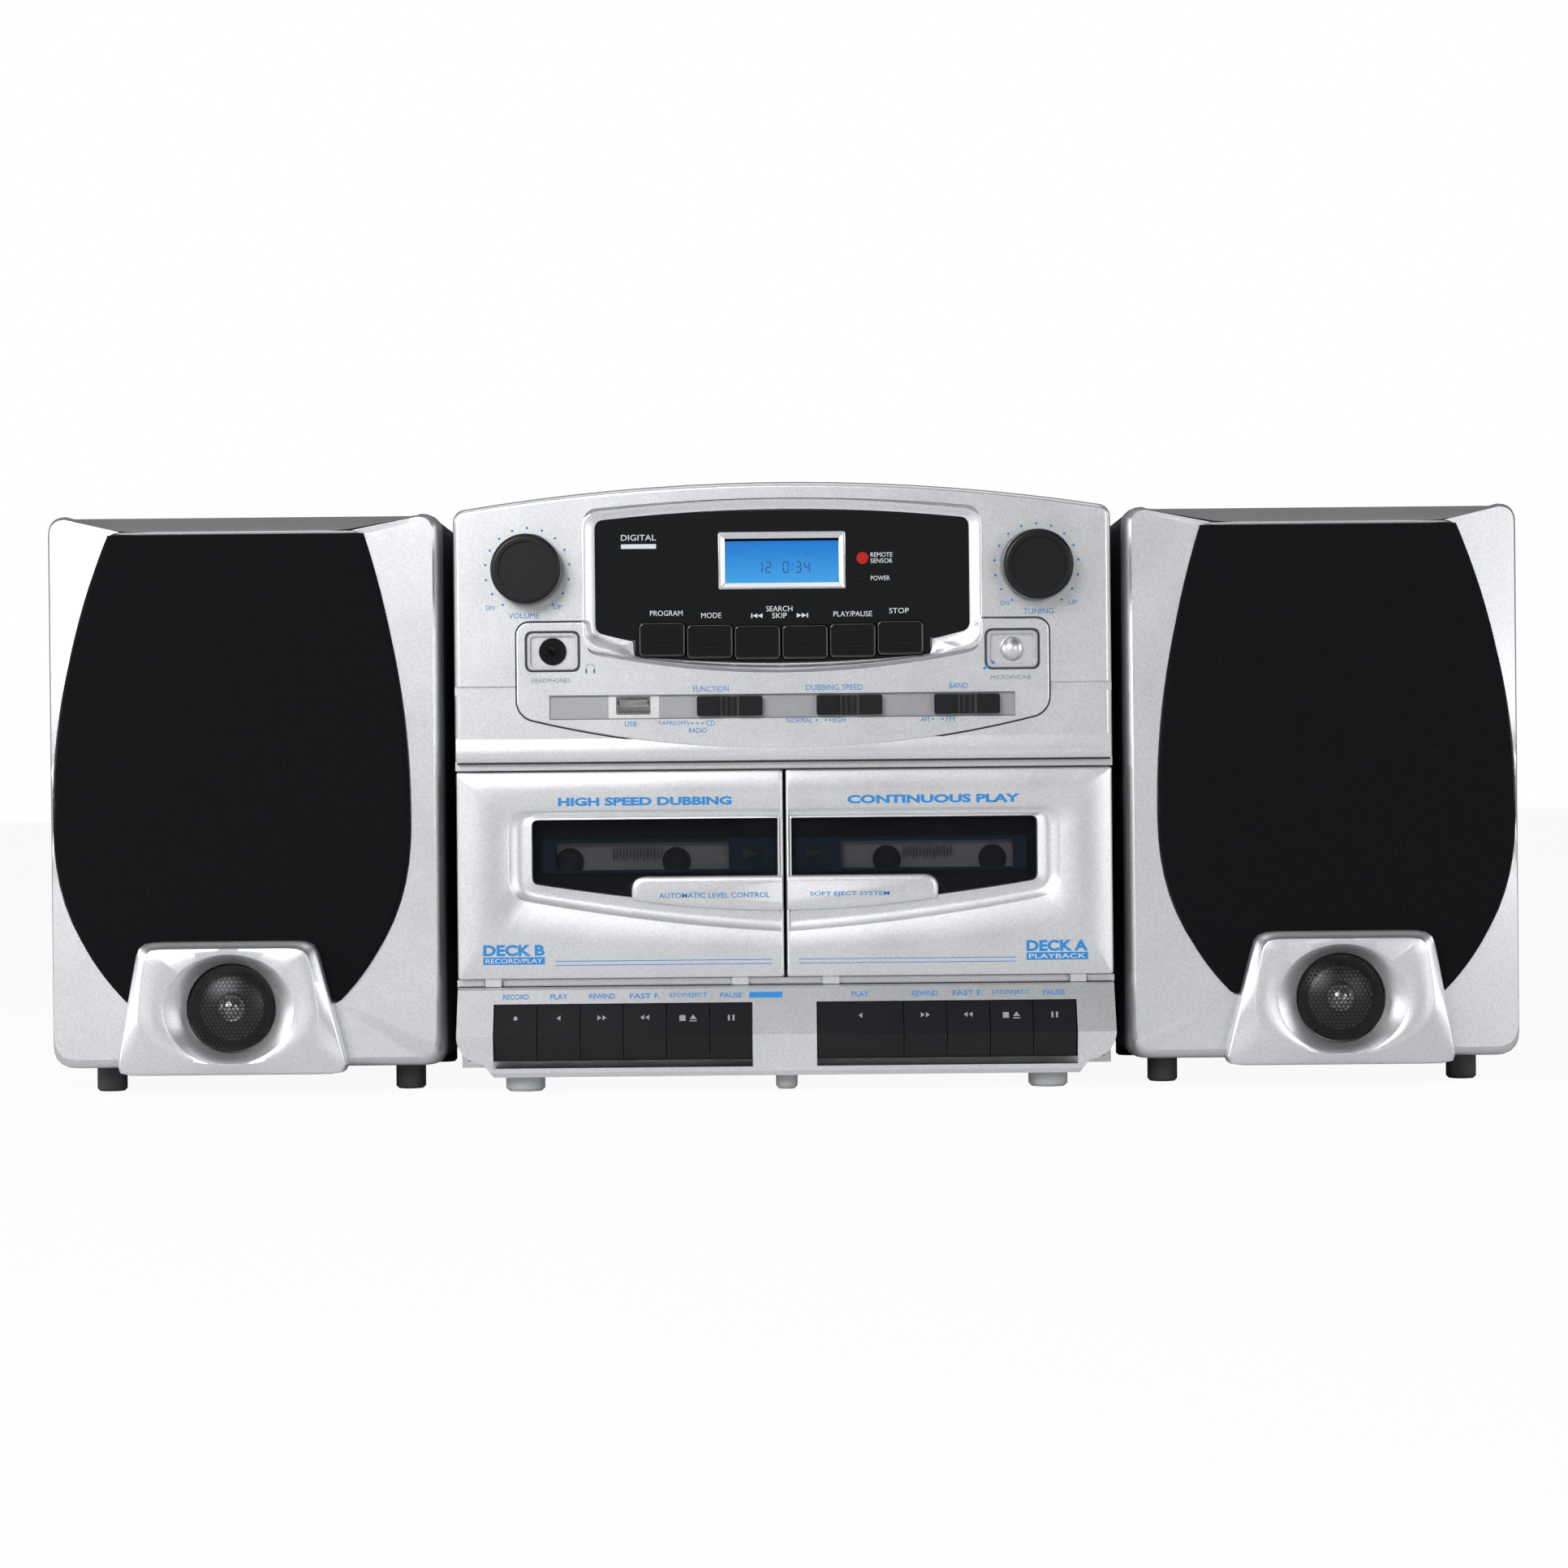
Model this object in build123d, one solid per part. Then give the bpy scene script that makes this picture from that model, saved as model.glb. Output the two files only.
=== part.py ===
from build123d import *
import math
import os

os.makedirs("parts", exist_ok=True)

# Lengths are in millimetres. While modelling, Y is 0 on the main fascia and grows to the back.
# ---- overall sizes -----------------------------------------------------------------------
MAIN_HALF = 130.5        # half width of the main unit
BASE_Z = 8.0             # underside of the cabinet
CORNER_Z = 230.4         # height of the top edge at its corners
CROWN_Z = 241.0          # height of the top edge in the middle
NOSE_Y = -15.0           # foremost point, the tweeter housings
REAR_Y = 190.0           # rearmost point of the main unit
SPLIT_Y = 62.0           # joint between front and rear cabinet halves
STEP_Y = 166.0           # back wall above the handle recess
SPEAKER_GAP = 5.5        # between the main unit and each speaker
SPEAKER_OUT = 74.5       # from a speaker's driver axis to its outer wall
SPEAKER_IN = 81.0        # from that axis to the wall beside the main unit
SPEAKER_X = MAIN_HALF + SPEAKER_GAP + SPEAKER_IN
SPEAKER_Z0 = 10.0
SPEAKER_Z1 = 230.0
SPEAKER_REAR = 176.0
WALL = 2.5
FRONT_WALL = 6.0
# ---- clearances ---------------------------------------------------------------------------
GAP = 0.3                # between separate bodies
RUN = 0.05               # radial running clearance of shafts and pins
SEAT = 0.15              # between parts fixed to the same body
PARTING = 0.4            # visible line round the control insert
# ---- doors, keys and controls --------------------------------------------------------------
DOOR_Z0 = 44.5
DOOR_Z1 = 126.7
DOOR_X0 = 0.5
DOOR_X1 = 130.0
DOOR_FRONT = -2.0
DOOR_PIVOT_Y = 1.0
DOOR_PIVOT_Z = 47.5
DOOR_BEAD_R = 3.0
PIN_R = 1.2
LUG_R = 1.9
LUG_X = (18.0, 116.0)
LUG_HALF = 3.2
KEY_PITCH = 17.03
KEY_PIVOT_Y = 46.0
KEY_PIVOT_Z = 36.0
KEY_ROD_R = 2.0
KEY_TOP_Z = 34.6
KEY_X0_B = -115.4
KEY_X0_A = 12.3
KNOB_X = 101.0
KNOB_Z = 206.7
KNOB_R = 13.9
KNOB_SHAFT_R = 3.0
BUTTON_PITCH = 18.9
BUTTON_W = 18.2
CD_X = 0.0
CD_Y = 84.0
CD_WELL_R = 62.5
SPINDLE_R = 3.0
LID_HINGE_Y = 151.0
LID_HINGE_Z = 237.4
LID_HINGE_X = 40.0
LID_PIN_R = 1.2
HANDLE_Y = 178.0
HANDLE_Z = 216.0
HANDLE_REACH = 66.0
HANDLE_T = 6.5           # half thickness of the handle
ANTENNA_X = 96.0
ANTENNA_Y = 182.6
ANTENNA_Z = 129.5
TUBE_Y = 187.3
TUBE_R = 2.2
ROD_R = 1.5
RAIL_Y = 104.0
RAIL_Z0 = 60.0
RAIL_Z1 = 180.0
SHIFT_Y = -(NOSE_Y + REAR_Y) / 2


# ---- small helpers --------------------------------------------------------------------------
def save(name, shape):
    export_step(Pos(0, SHIFT_Y, 0) * shape, f"parts/{name}.step")


def block(x0, x1, y0, y1, z0, z1):
    return Pos((x0 + x1) / 2, (y0 + y1) / 2, (z0 + z1) / 2) * Box(x1 - x0, y1 - y0, z1 - z0)


def outline(start, *steps):
    """Closed flat outline; a step is an end point, or a (middle, end) pair for an arc."""
    edges = []
    here = start
    for step in steps:
        if isinstance(step[0], tuple):
            edges.append(ThreePointArc(here, step[0], step[1]))
            here = step[1]
        else:
            edges.append(Line(here, step))
            here = step
    if here != start:
        edges.append(Line(here, start))
    return make_face(edges)


def facing(face, y0, y1):
    """Extrude an X-Z outline from y0 back to y1."""
    plane = Plane((0, y1, 0), x_dir=(1, 0, 0), z_dir=(0, -1, 0))
    return plane * extrude(face, y1 - y0)


def across(face, x0, x1):
    """Extrude a Y-Z outline from x0 to x1."""
    plane = Plane((x0, 0, 0), x_dir=(0, 1, 0), z_dir=(1, 0, 0))
    return plane * extrude(face, x1 - x0)


def rod_x(y, z, r, x0, x1):
    return Pos((x0 + x1) / 2, y, z) * Rot(0, 90, 0) * Cylinder(r, abs(x1 - x0))


def rod_y(x, z, r, y0, y1):
    return Pos(x, (y0 + y1) / 2, z) * Rot(90, 0, 0) * Cylinder(r, y1 - y0)


def rod_z(x, y, r, z0, z1):
    return Pos(x, y, (z0 + z1) / 2) * Cylinder(r, z1 - z0)


def slab(x0, x1, z0, z1, r, y0, y1):
    """Plate facing forward with rounded corners."""
    face = Pos((x0 + x1) / 2, (z0 + z1) / 2) * RectangleRounded(x1 - x0, z1 - z0, r)
    return facing(face, y0, y1)


def flip(shape):
    return mirror(shape, about=Plane.YZ)


def front_rim(shape, y, r):
    """Round every edge lying in the plane at depth y."""
    rim = [e for e in shape.edges() if abs(e.bounding_box().max.Y - y) < 1e-3
           and abs(e.bounding_box().min.Y - y) < 1e-3]
    return fillet(rim, r)


def crown(x):
    """Height of the arched top at a distance x from the middle."""
    rise = CROWN_Z - CORNER_Z
    radius = (MAIN_HALF ** 2 + rise ** 2) / (2 * rise)
    return CROWN_Z - radius + math.sqrt(radius ** 2 - x ** 2)


def main_outline(inset, z0):
    x = MAIN_HALF - inset
    face = outline((-x, z0), (-x, crown(x) - inset),
                   ((0, CROWN_Z - inset), (x, crown(x) - inset)), (x, z0))
    return fillet([v for v in face.vertices() if v.Y > 200], 5 - inset * 0.6)


def panel_outline(grow):
    """Control insert with rounded ears and an arched lower edge."""
    x = 105.6 + grow
    face = outline((-x, 186 + grow), (-x, 148.7 - grow),
                   ((0, 135.2 - grow), (x, 148.7 - grow)), (x, 186 + grow))
    tops = [v for v in face.vertices() if v.Y > 170]
    face = fillet(tops, 5)
    return fillet([v for v in face.vertices() if v.Y < 150], 8)


def recess_outline(grow):
    """Shallow field round the display window and the button row."""
    x = 78.5 + grow
    face = outline((-x, 230.6 + grow), (-x + 1, 173.5 - grow),
                   ((0, 165.4 - grow), (x - 1, 173.5 - grow)), (x, 230.6 + grow),
                   ((0, 234.6 + grow), (-x, 230.6 + grow)))
    return fillet(face.vertices(), 5)


def window_outline(inset):
    """Black display panel; its lower edge drops round the row of six buttons."""
    x = 74 - inset
    bay = 58.6 - inset
    face = outline((-x, 226.2 - inset), (-x, 182.0 + inset), ((-67, 179.6 + inset), (-bay, 178.6 + inset)),
                   (-bay, 172.2 + inset), ((0, 169.2 + inset), (bay, 172.2 + inset)),
                   (bay, 178.6 + inset), ((67, 179.6 + inset), (x, 182.0 + inset)),
                   (x, 226.2 - inset), ((0, 229.8 - inset), (-x, 226.2 - inset)))
    return fillet([v for v in face.vertices() if abs(v.X) > x - 1], 3)


def lens_outline(grow):
    """Window opening of the left cassette door, stepped round the thumb pod."""
    right = -2.8 + grow / 2
    return outline((right, 107.5 + grow), (-100 - grow, 107.5 + grow), (-100 - grow, 82.2 - grow * 0.6),
                   (-61.3, 74.6 - grow), ((-62.6, 80.6), (-57.5, 84.9)), (right, 84.9))


def band_outline():
    """Concave band round the window of the left door."""
    face = outline((-0.4, 111.3), (-109.2, 111.3), (-109.2, 76.5),
                   ((-66, 66.2), (-0.4, 62.6)))
    return fillet([v for v in face.vertices() if v.X < -100], 7)


def pod_outline():
    face = outline((-0.8, 84.6), (-55.5, 84.6), ((-61.0, 80.5), (-57.4, 74.6)),
                   ((-30, 71.6), (-0.8, 70.6)))
    return face


def button_x(i):
    return (i - 2.5) * BUTTON_PITCH - 0.5


def button_z(i):
    return 177.2 + 1.4 * (abs(button_x(i)) / 47.0) ** 2


def button_shape(i, grow, y0, y1):
    x = button_x(i)
    z = button_z(i)
    half = BUTTON_W / 2 + grow
    return slab(x - half, x + half, z - 6.7 - grow, z + 6.7 + grow, 1.6, y0, y1)


JACK = (-91.3, 174.4)
MIC = (91.0, 173.8)
USB = (-59.5, 152.7)
SWITCHES = {"function_switch": (-21.2, -4.4, 0.3),
            "dubbing_switch": (26.2, -0.3, 4.4),
            "band_switch": (72.8, -4.4, 0.3)}
TRACK_Z = 152.1
BUTTONS = ["program_button", "mode_button", "skip_back_button", "skip_forward_button",
           "play_pause_button", "stop_button"]

# ---- main cabinet, front half ------------------------------------------------------------------
body = facing(main_outline(0, BASE_Z), 0, SPLIT_Y)
body = front_rim(body, 0, 2.2)
body -= facing(main_outline(WALL, BASE_Z + WALL), FRONT_WALL, SPLIT_Y + 1)
body += block(-MAIN_HALF + 1, MAIN_HALF - 1, 3, SPLIT_Y, 127.3, 131.0)
body += block(-MAIN_HALF + 1, MAIN_HALF - 1, 3, SPLIT_Y, 41.6, 44.2)
body -= block(-140, 140, -1, 26.5, 44.2, 127.3)
body -= block(-125, 125, 20, SPLIT_Y - 4, 46.0, 125.5)
body -= block(-140, 140, -1, 2.4, 126.0, 131.0)
body -= block(-140, 140, -1, 2.4, 40.0, 45.0)
body -= block(-140, 140, -1, 20.3, BASE_Z - 1, 41.6)
for side in (-1, 1):
    body -= block(side * 118 - 13.5, side * 118 + 13.5, -1, 1.4, 157.2, 160.8)
body -= facing(panel_outline(PARTING), -1, 3)
body -= facing(recess_outline(0), -1, 3)
body -= facing(window_outline(3), 2, 8)
body -= block(-94, 94, 2, 8, 145, 164)
for i in range(6):
    body -= button_shape(i, GAP, 2, 8)
for x, z in (JACK, MIC):
    body -= rod_y(x, z, 6.5, 2, 8)
for side in (-1, 1):
    body -= rod_y(side * KNOB_X, KNOB_Z, KNOB_SHAFT_R + RUN, -1, 8)
    body -= rod_y(side * KNOB_X, KNOB_Z, KNOB_R + 0.7, -1, 0.8)
for side in (-1, 1):
    for lug in LUG_X:
        x0 = side * lug - LUG_HALF
        x1 = side * lug + LUG_HALF
        body += rod_x(DOOR_PIVOT_Y, DOOR_PIVOT_Z, LUG_R, x0, x1)
        body += block(x0, x1, -0.2, 2.2, 42.5, DOOR_PIVOT_Z)
        body += block(x0, x1, -0.2, 6, 41.6, 44.2)
        body -= rod_x(DOOR_PIVOT_Y, DOOR_PIVOT_Z, PIN_R + RUN, x0 - 1, x1 + 1)
lid_hole = block(-69, 69, 14, LID_HINGE_Y + 4.6, 226, 250)
lid_hole = fillet(lid_hole.edges().filter_by(Axis.Z), 18)
body -= lid_hole
save("front_cabinet", body)

# ---- control panel insert with the microphone dome -------------------------------------------------
panel = facing(panel_outline(0), -0.8, 2.8)
panel = front_rim(panel, -0.8, 0.6)
panel -= facing(recess_outline(SEAT), -2, 4)
panel -= slab(JACK[0] - 11, JACK[0] + 11, JACK[1] - 8.2, JACK[1] + 8.2, 3, -2, 0.8)
panel -= slab(MIC[0] - 11, MIC[0] + 11, MIC[1] - 8.2, MIC[1] + 8.2, 3, -2, 0.8)
panel -= rod_y(JACK[0], JACK[1], 5.3 + SEAT, -2, 4)
panel -= slab(-92.8, 92.0, TRACK_Z - 4.5, TRACK_Z + 4.4, 1.0, -2, 0.4)
panel -= slab(USB[0] - 6.8, USB[0] + 6.8, USB[1] - 3.6, USB[1] + 3.6, 0.6, -2, 4)
for x, lo, hi in SWITCHES.values():
    panel -= block(x + lo - 4.5, x + hi + 4.5, -2, 4, TRACK_Z - 2.2, TRACK_Z + 2.2)
dome = Pos(MIC[0], 2.2, MIC[1]) * Sphere(5.1)
dome &= block(MIC[0] - 6, MIC[0] + 6, -4, 2.0, MIC[1] - 6, MIC[1] + 6)
panel += dome
save("control_panel", panel)

# ---- key fascia -------------------------------------------------------------------------------------
profile = outline((1.8, 41.3), (-0.6, 41.3), (-2.0, 40.2), (-11.0, 22.5), (-9.0, 8.0),
                  (-7.6, 6.2), (20.0, 6.2), (20.0, 8.0), (20.0, 41.3))
inner = outline((2.5, 38.5), (0.6, 38.5), (-8.2, 22.5), (-6.8, 8.2), (21.0, 8.2), (21.0, 38.5))
fascia = across(profile, -130, 130) - across(inner, -127.5, 127.5)
mask = outline((-130, 41.3), (-130, 24), ((-127.5, 15.5), (-119.5, 11.5)), (-115.5, 6.2),
               (115.5, 6.2), (119.5, 11.5), ((127.5, 15.5), (130, 24)), (130, 41.3))
fascia &= facing(mask, -20, 30)
fascia -= block(-115.6, -13.3, -20, 5, 9.8, 34.9)
fascia -= block(12.0, 114.8, -20, 5, 9.8, 34.9)
save("key_fascia", fascia)

# ---- main cabinet, rear half ---------------------------------------------------------------------------
rear = facing(main_outline(0, BASE_Z), SPLIT_Y + SEAT, REAR_Y - 2)
rear -= facing(main_outline(WALL, BASE_Z + WALL), SPLIT_Y, STEP_Y - WALL)
rear -= facing(outline((-128, 10.5), (-128, 118), (128, 118), (128, 10.5)), STEP_Y - 4, REAR_Y - 2 - WALL)
rear -= block(-140, 140, STEP_Y, REAR_Y, 122.0, 260)
rear -= lid_hole
for side in (-1, 1):
    for ear_x in (LID_HINGE_X - 8.2, LID_HINGE_X + 8.2):
        x0 = side * ear_x - 1.9
        rear += rod_x(LID_HINGE_Y, LID_HINGE_Z, 2.0, x0, x0 + 3.8)
        rear += block(x0, x0 + 3.8, LID_HINGE_Y, LID_HINGE_Y + 6, LID_HINGE_Z - 2.0, LID_HINGE_Z + 1.2)
    rear += rod_x(LID_HINGE_Y, LID_HINGE_Z, LID_PIN_R, side * LID_HINGE_X - 8, side * LID_HINGE_X + 8)
for side in (-1, 1):
    ear = block(side * 125.5 - 4.5, side * 125.5 + 4.5, STEP_Y - 1, HANDLE_Y + 6, HANDLE_Z - 8, HANDLE_Z + 8)
    ear = fillet(ear.edges().filter_by(Axis.X).group_by(Axis.Y)[-1], 5)
    rear += ear
    rear -= rod_x(HANDLE_Y, HANDLE_Z, 3.0 + RUN, side * 119.5, side * 128)
# battery bay behind a slide-off door in the underside
rear += block(-72, 72, 96, 168, 10, 46)
rear -= block(-70, 70, 98, 166, 9.9, 44)
rear -= block(-66, 66, 100, 164, 7, 12)
rear -= block(-71, 71, 99, REAR_Y, 7, 9.6 + GAP)
# speaker rails with a T section
for side in (-1, 1):
    neck = block(-2.0, 2.0, RAIL_Y - 2, RAIL_Y + 2, RAIL_Z0, RAIL_Z1)
    rear += Pos(side * (MAIN_HALF + 1.8), 0, 0) * neck
    rear += block(side * (MAIN_HALF + 3.8) - 1.0, side * (MAIN_HALF + 3.8) + 1.0,
                  RAIL_Y - 6, RAIL_Y + 6, RAIL_Z0, RAIL_Z1)
# inlet and terminal openings in the back wall
rear -= block(-104, -74, REAR_Y - 6, REAR_Y, 40, 62)
rear -= block(74, 104, REAR_Y - 6, REAR_Y, 40, 62)
# antenna recess on the shelf
rear -= rod_z(ANTENNA_X, ANTENNA_Y, 4.5 + RUN, 119, 124)
# louvres low on the back
for i in range(8):
    rear -= block(-60 + i * 16, -50 + i * 16, REAR_Y - 8, REAR_Y, 76, 98)
# heads of the cabinet screws
for x in (-118, 118):
    for z in (20, 66, 108):
        rear += rod_y(x, z, 3.2, REAR_Y - 3, REAR_Y - 1.0)
        rear -= block(x - 2.4, x + 2.4, REAR_Y - 1.6, REAR_Y, z - 0.4, z + 0.4)
        rear -= block(x - 0.4, x + 0.4, REAR_Y - 1.6, REAR_Y, z - 2.4, z + 2.4)
save("rear_cabinet", rear)

# ---- display window, display module and lenses -------------------------------------------------------------
window = facing(window_outline(0), 0.8, 2.9)
window -= slab(-25.4, 25.4, 198.2, 221.3, 1.2, 0, 4)
window -= rod_y(32.0, 210.4, 2.4 + SEAT, 0, 4)
window -= rod_y(31.6, 202.2, 1.0 + SEAT, 0, 4)
for i in range(6):
    window -= button_shape(i, GAP, 0, 4)
save("display_window", window)

bezel = slab(-25.2, 25.2, 198.4, 221.1, 1.0, -0.1, 5.0)
bezel -= slab(-22.7, 22.7, 200.7, 217.6, 0.6, -1.0, 2.0)
save("lcd_module", bezel)
save("indicator_lenses", rod_y(32.0, 210.4, 2.4, 0.5, 4.0) + rod_y(31.6, 202.2, 1.0, 0.5, 4.0))

# ---- headphone jack and USB socket -----------------------------------------------------------------------------
jack = rod_y(JACK[0], JACK[1], 5.3, -0.4, 3.0) + rod_y(JACK[0], JACK[1], 4.4, 2.5, 20)
jack -= rod_y(JACK[0], JACK[1], 3.2, -1, 0.8)
jack -= rod_y(JACK[0], JACK[1], 1.8, -1, 15)
save("headphone_jack", jack)

usb = block(USB[0] - 6.65, USB[0] + 6.65, 0.2, 16, USB[1] - 3.4, USB[1] + 3.4)
usb -= block(USB[0] - 6.25, USB[0] + 6.25, -1, 13, USB[1] - 3.0, USB[1] + 3.0)
usb += block(USB[0] - 5.6, USB[0] + 5.6, 1.0, 14, USB[1] + 0.4, USB[1] + 2.2)
save("usb_socket", usb)

# ---- feet ------------------------------------------------------------------------------------------------------
feet = Part()
for x, y, r, top in ((-104, 6, 7.8, 6.2), (104, 6, 7.8, 6.2), (-104, 150, 7.8, BASE_Z),
                     (104, 150, 7.8, BASE_Z), (0, 4, 4.3, 6.2)):
    foot = rod_z(x, y, r, 0, top - 0.05)
    feet += chamfer(foot.edges().group_by(Axis.Z)[0], 1.2)
save("main_feet", feet)

# ---- compact disc well, turntable, pickup and lid ------------------------------------------------------------------
WELL_Z0 = 208.0
WELL_TOP = 229.0
tub = rod_z(CD_X, CD_Y, CD_WELL_R + 2, WELL_Z0, WELL_TOP) - rod_z(CD_X, CD_Y, CD_WELL_R, WELL_Z0 + 2, 240)
tub -= rod_z(CD_X, CD_Y, 15.5, WELL_Z0 - 1, WELL_Z0 + 3)
tub -= block(CD_X - 9, CD_X + 9, CD_Y + 14, CD_Y + 59, WELL_Z0 - 1, WELL_Z0 + 3)
save("cd_well", tub)

table = rod_z(CD_X, CD_Y, 14.5, WELL_Z0 + 2, WELL_Z0 + 5) + rod_z(CD_X, CD_Y, 7.4, WELL_Z0 + 4, WELL_Z0 + 8)
table += rod_z(CD_X, CD_Y, SPINDLE_R, WELL_Z0 - 8, WELL_Z0 + 3)
save("cd_turntable", table)

pickup = block(CD_X - 8, CD_X + 8, CD_Y + 15.5, CD_Y + 27.5, WELL_Z0 - 6, WELL_Z0 + 1)
pickup += rod_z(CD_X, CD_Y + 21.5, 3.5, WELL_Z0 + 0.5, WELL_Z0 + 2.2)
save("laser_pickup", pickup)

lid = facing(main_outline(0, 150), 14.6, LID_HINGE_Y - 0.4)
lid_trim = block(-68.4, 68.4, 14.6, LID_HINGE_Y - 0.4, 231, 250)
lid_trim = fillet(lid_trim.edges().filter_by(Axis.Z), 17.4)
lid &= lid_trim
lid -= rod_z(CD_X, CD_Y, 60, 230, 236)
for side in (-1, 1):
    x0 = side * LID_HINGE_X - 6
    lid -= block(x0 - 6.2, x0 + 18.2, LID_HINGE_Y - 3.2, LID_HINGE_Y + 1, 230, 250)
    lid += block(x0, x0 + 12, LID_HINGE_Y - 6, LID_HINGE_Y, LID_HINGE_Z - 2, LID_HINGE_Z + 1.6)
    lid += rod_x(LID_HINGE_Y, LID_HINGE_Z, 2.4, x0, x0 + 12)
    lid -= rod_x(LID_HINGE_Y, LID_HINGE_Z, LID_PIN_R + RUN, x0 - 1, x0 + 13)
save("cd_lid", lid)

# ---- six disc buttons ------------------------------------------------------------------------------------------------
for i, name in enumerate(BUTTONS):
    cap = button_shape(i, 0, -1.2, 6.5)
    cap = front_rim(cap, -1.2, 0.8)
    x = button_x(i)
    z = button_z(i)
    cap += block(x - 1.5, x + 1.5, -1.7, 0, z - 4.7, z - 3.7)
    save(name, cap)

# ---- knobs ------------------------------------------------------------------------------------------------------------
for side, name in ((-1, "volume_knob"), (1, "tuning_knob")):
    knob = rod_y(side * KNOB_X, KNOB_Z, KNOB_R, -12.5, 0.4)
    knob = front_rim(knob, -12.5, 1.8)
    knob -= rod_y(side * KNOB_X, KNOB_Z, 10.8, -13, -11.6)
    knob += rod_y(side * KNOB_X, KNOB_Z, KNOB_SHAFT_R, 0, 14)
    save(name, knob)

# ---- slide switches ------------------------------------------------------------------------------------------------------
for name, (x, lo, hi) in SWITCHES.items():
    cap = block(x - 13, x + 13, -3.4, 0.1, TRACK_Z - 3.9, TRACK_Z + 3.9)
    cap -= rod_z(x, -6.5, 5.2, TRACK_Z - 5, TRACK_Z + 5)
    cap = fillet(cap.edges().filter_by(Axis.Y), 0.8)
    cap += block(x - 4, x + 4, -0.5, 7.5, TRACK_Z - 1.8, TRACK_Z + 1.8)
    save(name, cap)

# ---- cassette doors with their windows ------------------------------------------------------------------------------------------
door = block(-DOOR_X1, -DOOR_X0, DOOR_FRONT, 1.6, DOOR_PIVOT_Z, DOOR_Z1)
door = fillet(door.edges().filter_by(lambda e: e.center().Y < DOOR_FRONT + 0.1
                                     and e.center().Z > DOOR_PIVOT_Z + 1), 1.0)
door += rod_x(DOOR_PIVOT_Y, DOOR_PIVOT_Z, DOOR_BEAD_R, -DOOR_X1, -DOOR_X0)
door -= facing(band_outline(), DOOR_FRONT - 1, DOOR_FRONT + 1.6)
door -= facing(lens_outline(0), DOOR_FRONT - 1, 3)
door += facing(pod_outline(), DOOR_FRONT - 0.4, 1.6)
# cassette holder: two side cheeks, a floor and a pair of springs lips
holder = block(-118.0, -116.2, 1.0, 16.5, 54.5, 96)
holder += block(-11.8, -10.0, 1.0, 16.5, 54.5, 96)
holder += block(-118.0, -10.0, 1.0, 16.5, 52.8, 54.6)
holder += block(-118.0, -108.0, 14.9, 16.5, 54.5, 90)
holder += block(-20.0, -10.0, 14.9, 16.5, 54.5, 90)
door += holder
for lug in LUG_X:
    door -= block(-lug - LUG_HALF - GAP, -lug + LUG_HALF + GAP, -4, 5, 43, 46.6)
    door -= rod_x(DOOR_PIVOT_Y, DOOR_PIVOT_Z, LUG_R + GAP, -lug - LUG_HALF - GAP, -lug + LUG_HALF + GAP)
    door -= block(-lug - LUG_HALF - GAP, -lug + LUG_HALF + GAP, DOOR_PIVOT_Y, 5, 43, 51)
    door += rod_x(DOOR_PIVOT_Y, DOOR_PIVOT_Z, PIN_R, -lug - LUG_HALF - 1, -lug + LUG_HALF + 1)
lens = facing(lens_outline(3), 1.75, 3.2)
lens -= block(-12.0, -9.8, 0, 5, 50, 96.2)
save("deck_b_door", door)
save("deck_b_window", lens)
save("deck_a_door", flip(door))
save("deck_a_window", flip(lens))


# ---- tape keys --------------------------------------------------------------------------------------------------------------------
def tape_key(x0, x1):
    """Piano key: folded face, side-on arm and a hub on the common rod."""
    a = x0 + GAP / 2
    b = x1 - GAP / 2
    section = outline((-3.9, KEY_TOP_Z), (-10.1, 22.3), (-6.4, 12.9), (-4.6, 12.9),
                      (-8.0, 22.3), (-2.9, 32.6), (8, 32.6), (8, KEY_TOP_Z))
    key = across(section, a, b)
    middle = (a + b) / 2
    key += block(middle - 3, middle + 3, 5, KEY_PIVOT_Y, 33.4, 36.4)
    key += rod_x(KEY_PIVOT_Y, KEY_PIVOT_Z, 4.0, middle - 3, middle + 3)
    key -= rod_x(KEY_PIVOT_Y, KEY_PIVOT_Z, KEY_ROD_R + RUN, middle - 4, middle + 4)
    return key


KEYS_B = ["b_record", "b_play", "b_rewind", "b_fast_forward", "b_stop_eject", "b_pause"]
KEYS_A = ["a_play", "a_rewind", "a_fast_forward", "a_stop_eject", "a_pause"]
key_left = KEY_X0_B
for name in KEYS_B:
    save(name + "_key", tape_key(key_left, key_left + KEY_PITCH))
    key_left += KEY_PITCH
key_left = KEY_X0_A
for name in KEYS_A:
    width = KEY_PITCH * (2 if name == "a_play" else 1)
    save(name + "_key", tape_key(key_left, key_left + width))
    key_left += width

# ---- tape transports: deck plates, hubs, capstans, heads and the key rod ----------------------------------------------------------------
mech = rod_x(KEY_PIVOT_Y, KEY_PIVOT_Z, KEY_ROD_R, -121, 121)
for side in (-1, 1):
    mech += block(side * 122.5 - 1.5, side * 122.5 + 1.5, KEY_PIVOT_Y - 6, KEY_PIVOT_Y + 6, 11, 41)
    deck_x = side * 64.0
    plate = block(deck_x - 55, deck_x + 55, 24, 27, 50, 122)
    for hub in (-21.25, 21.25):
        plate += rod_y(deck_x + hub, 90.7, 4.4, 12.5, 25)
    plate += rod_y(deck_x - 28, 60, 1.6, 16.0, 25)
    plate += block(deck_x - 7, deck_x + 7, 18, 25, 50, 57)
    plate += rod_y(deck_x + 26, 80, 17, 27, 52)
    mech += plate
save("tape_mechanism", mech)

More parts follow.
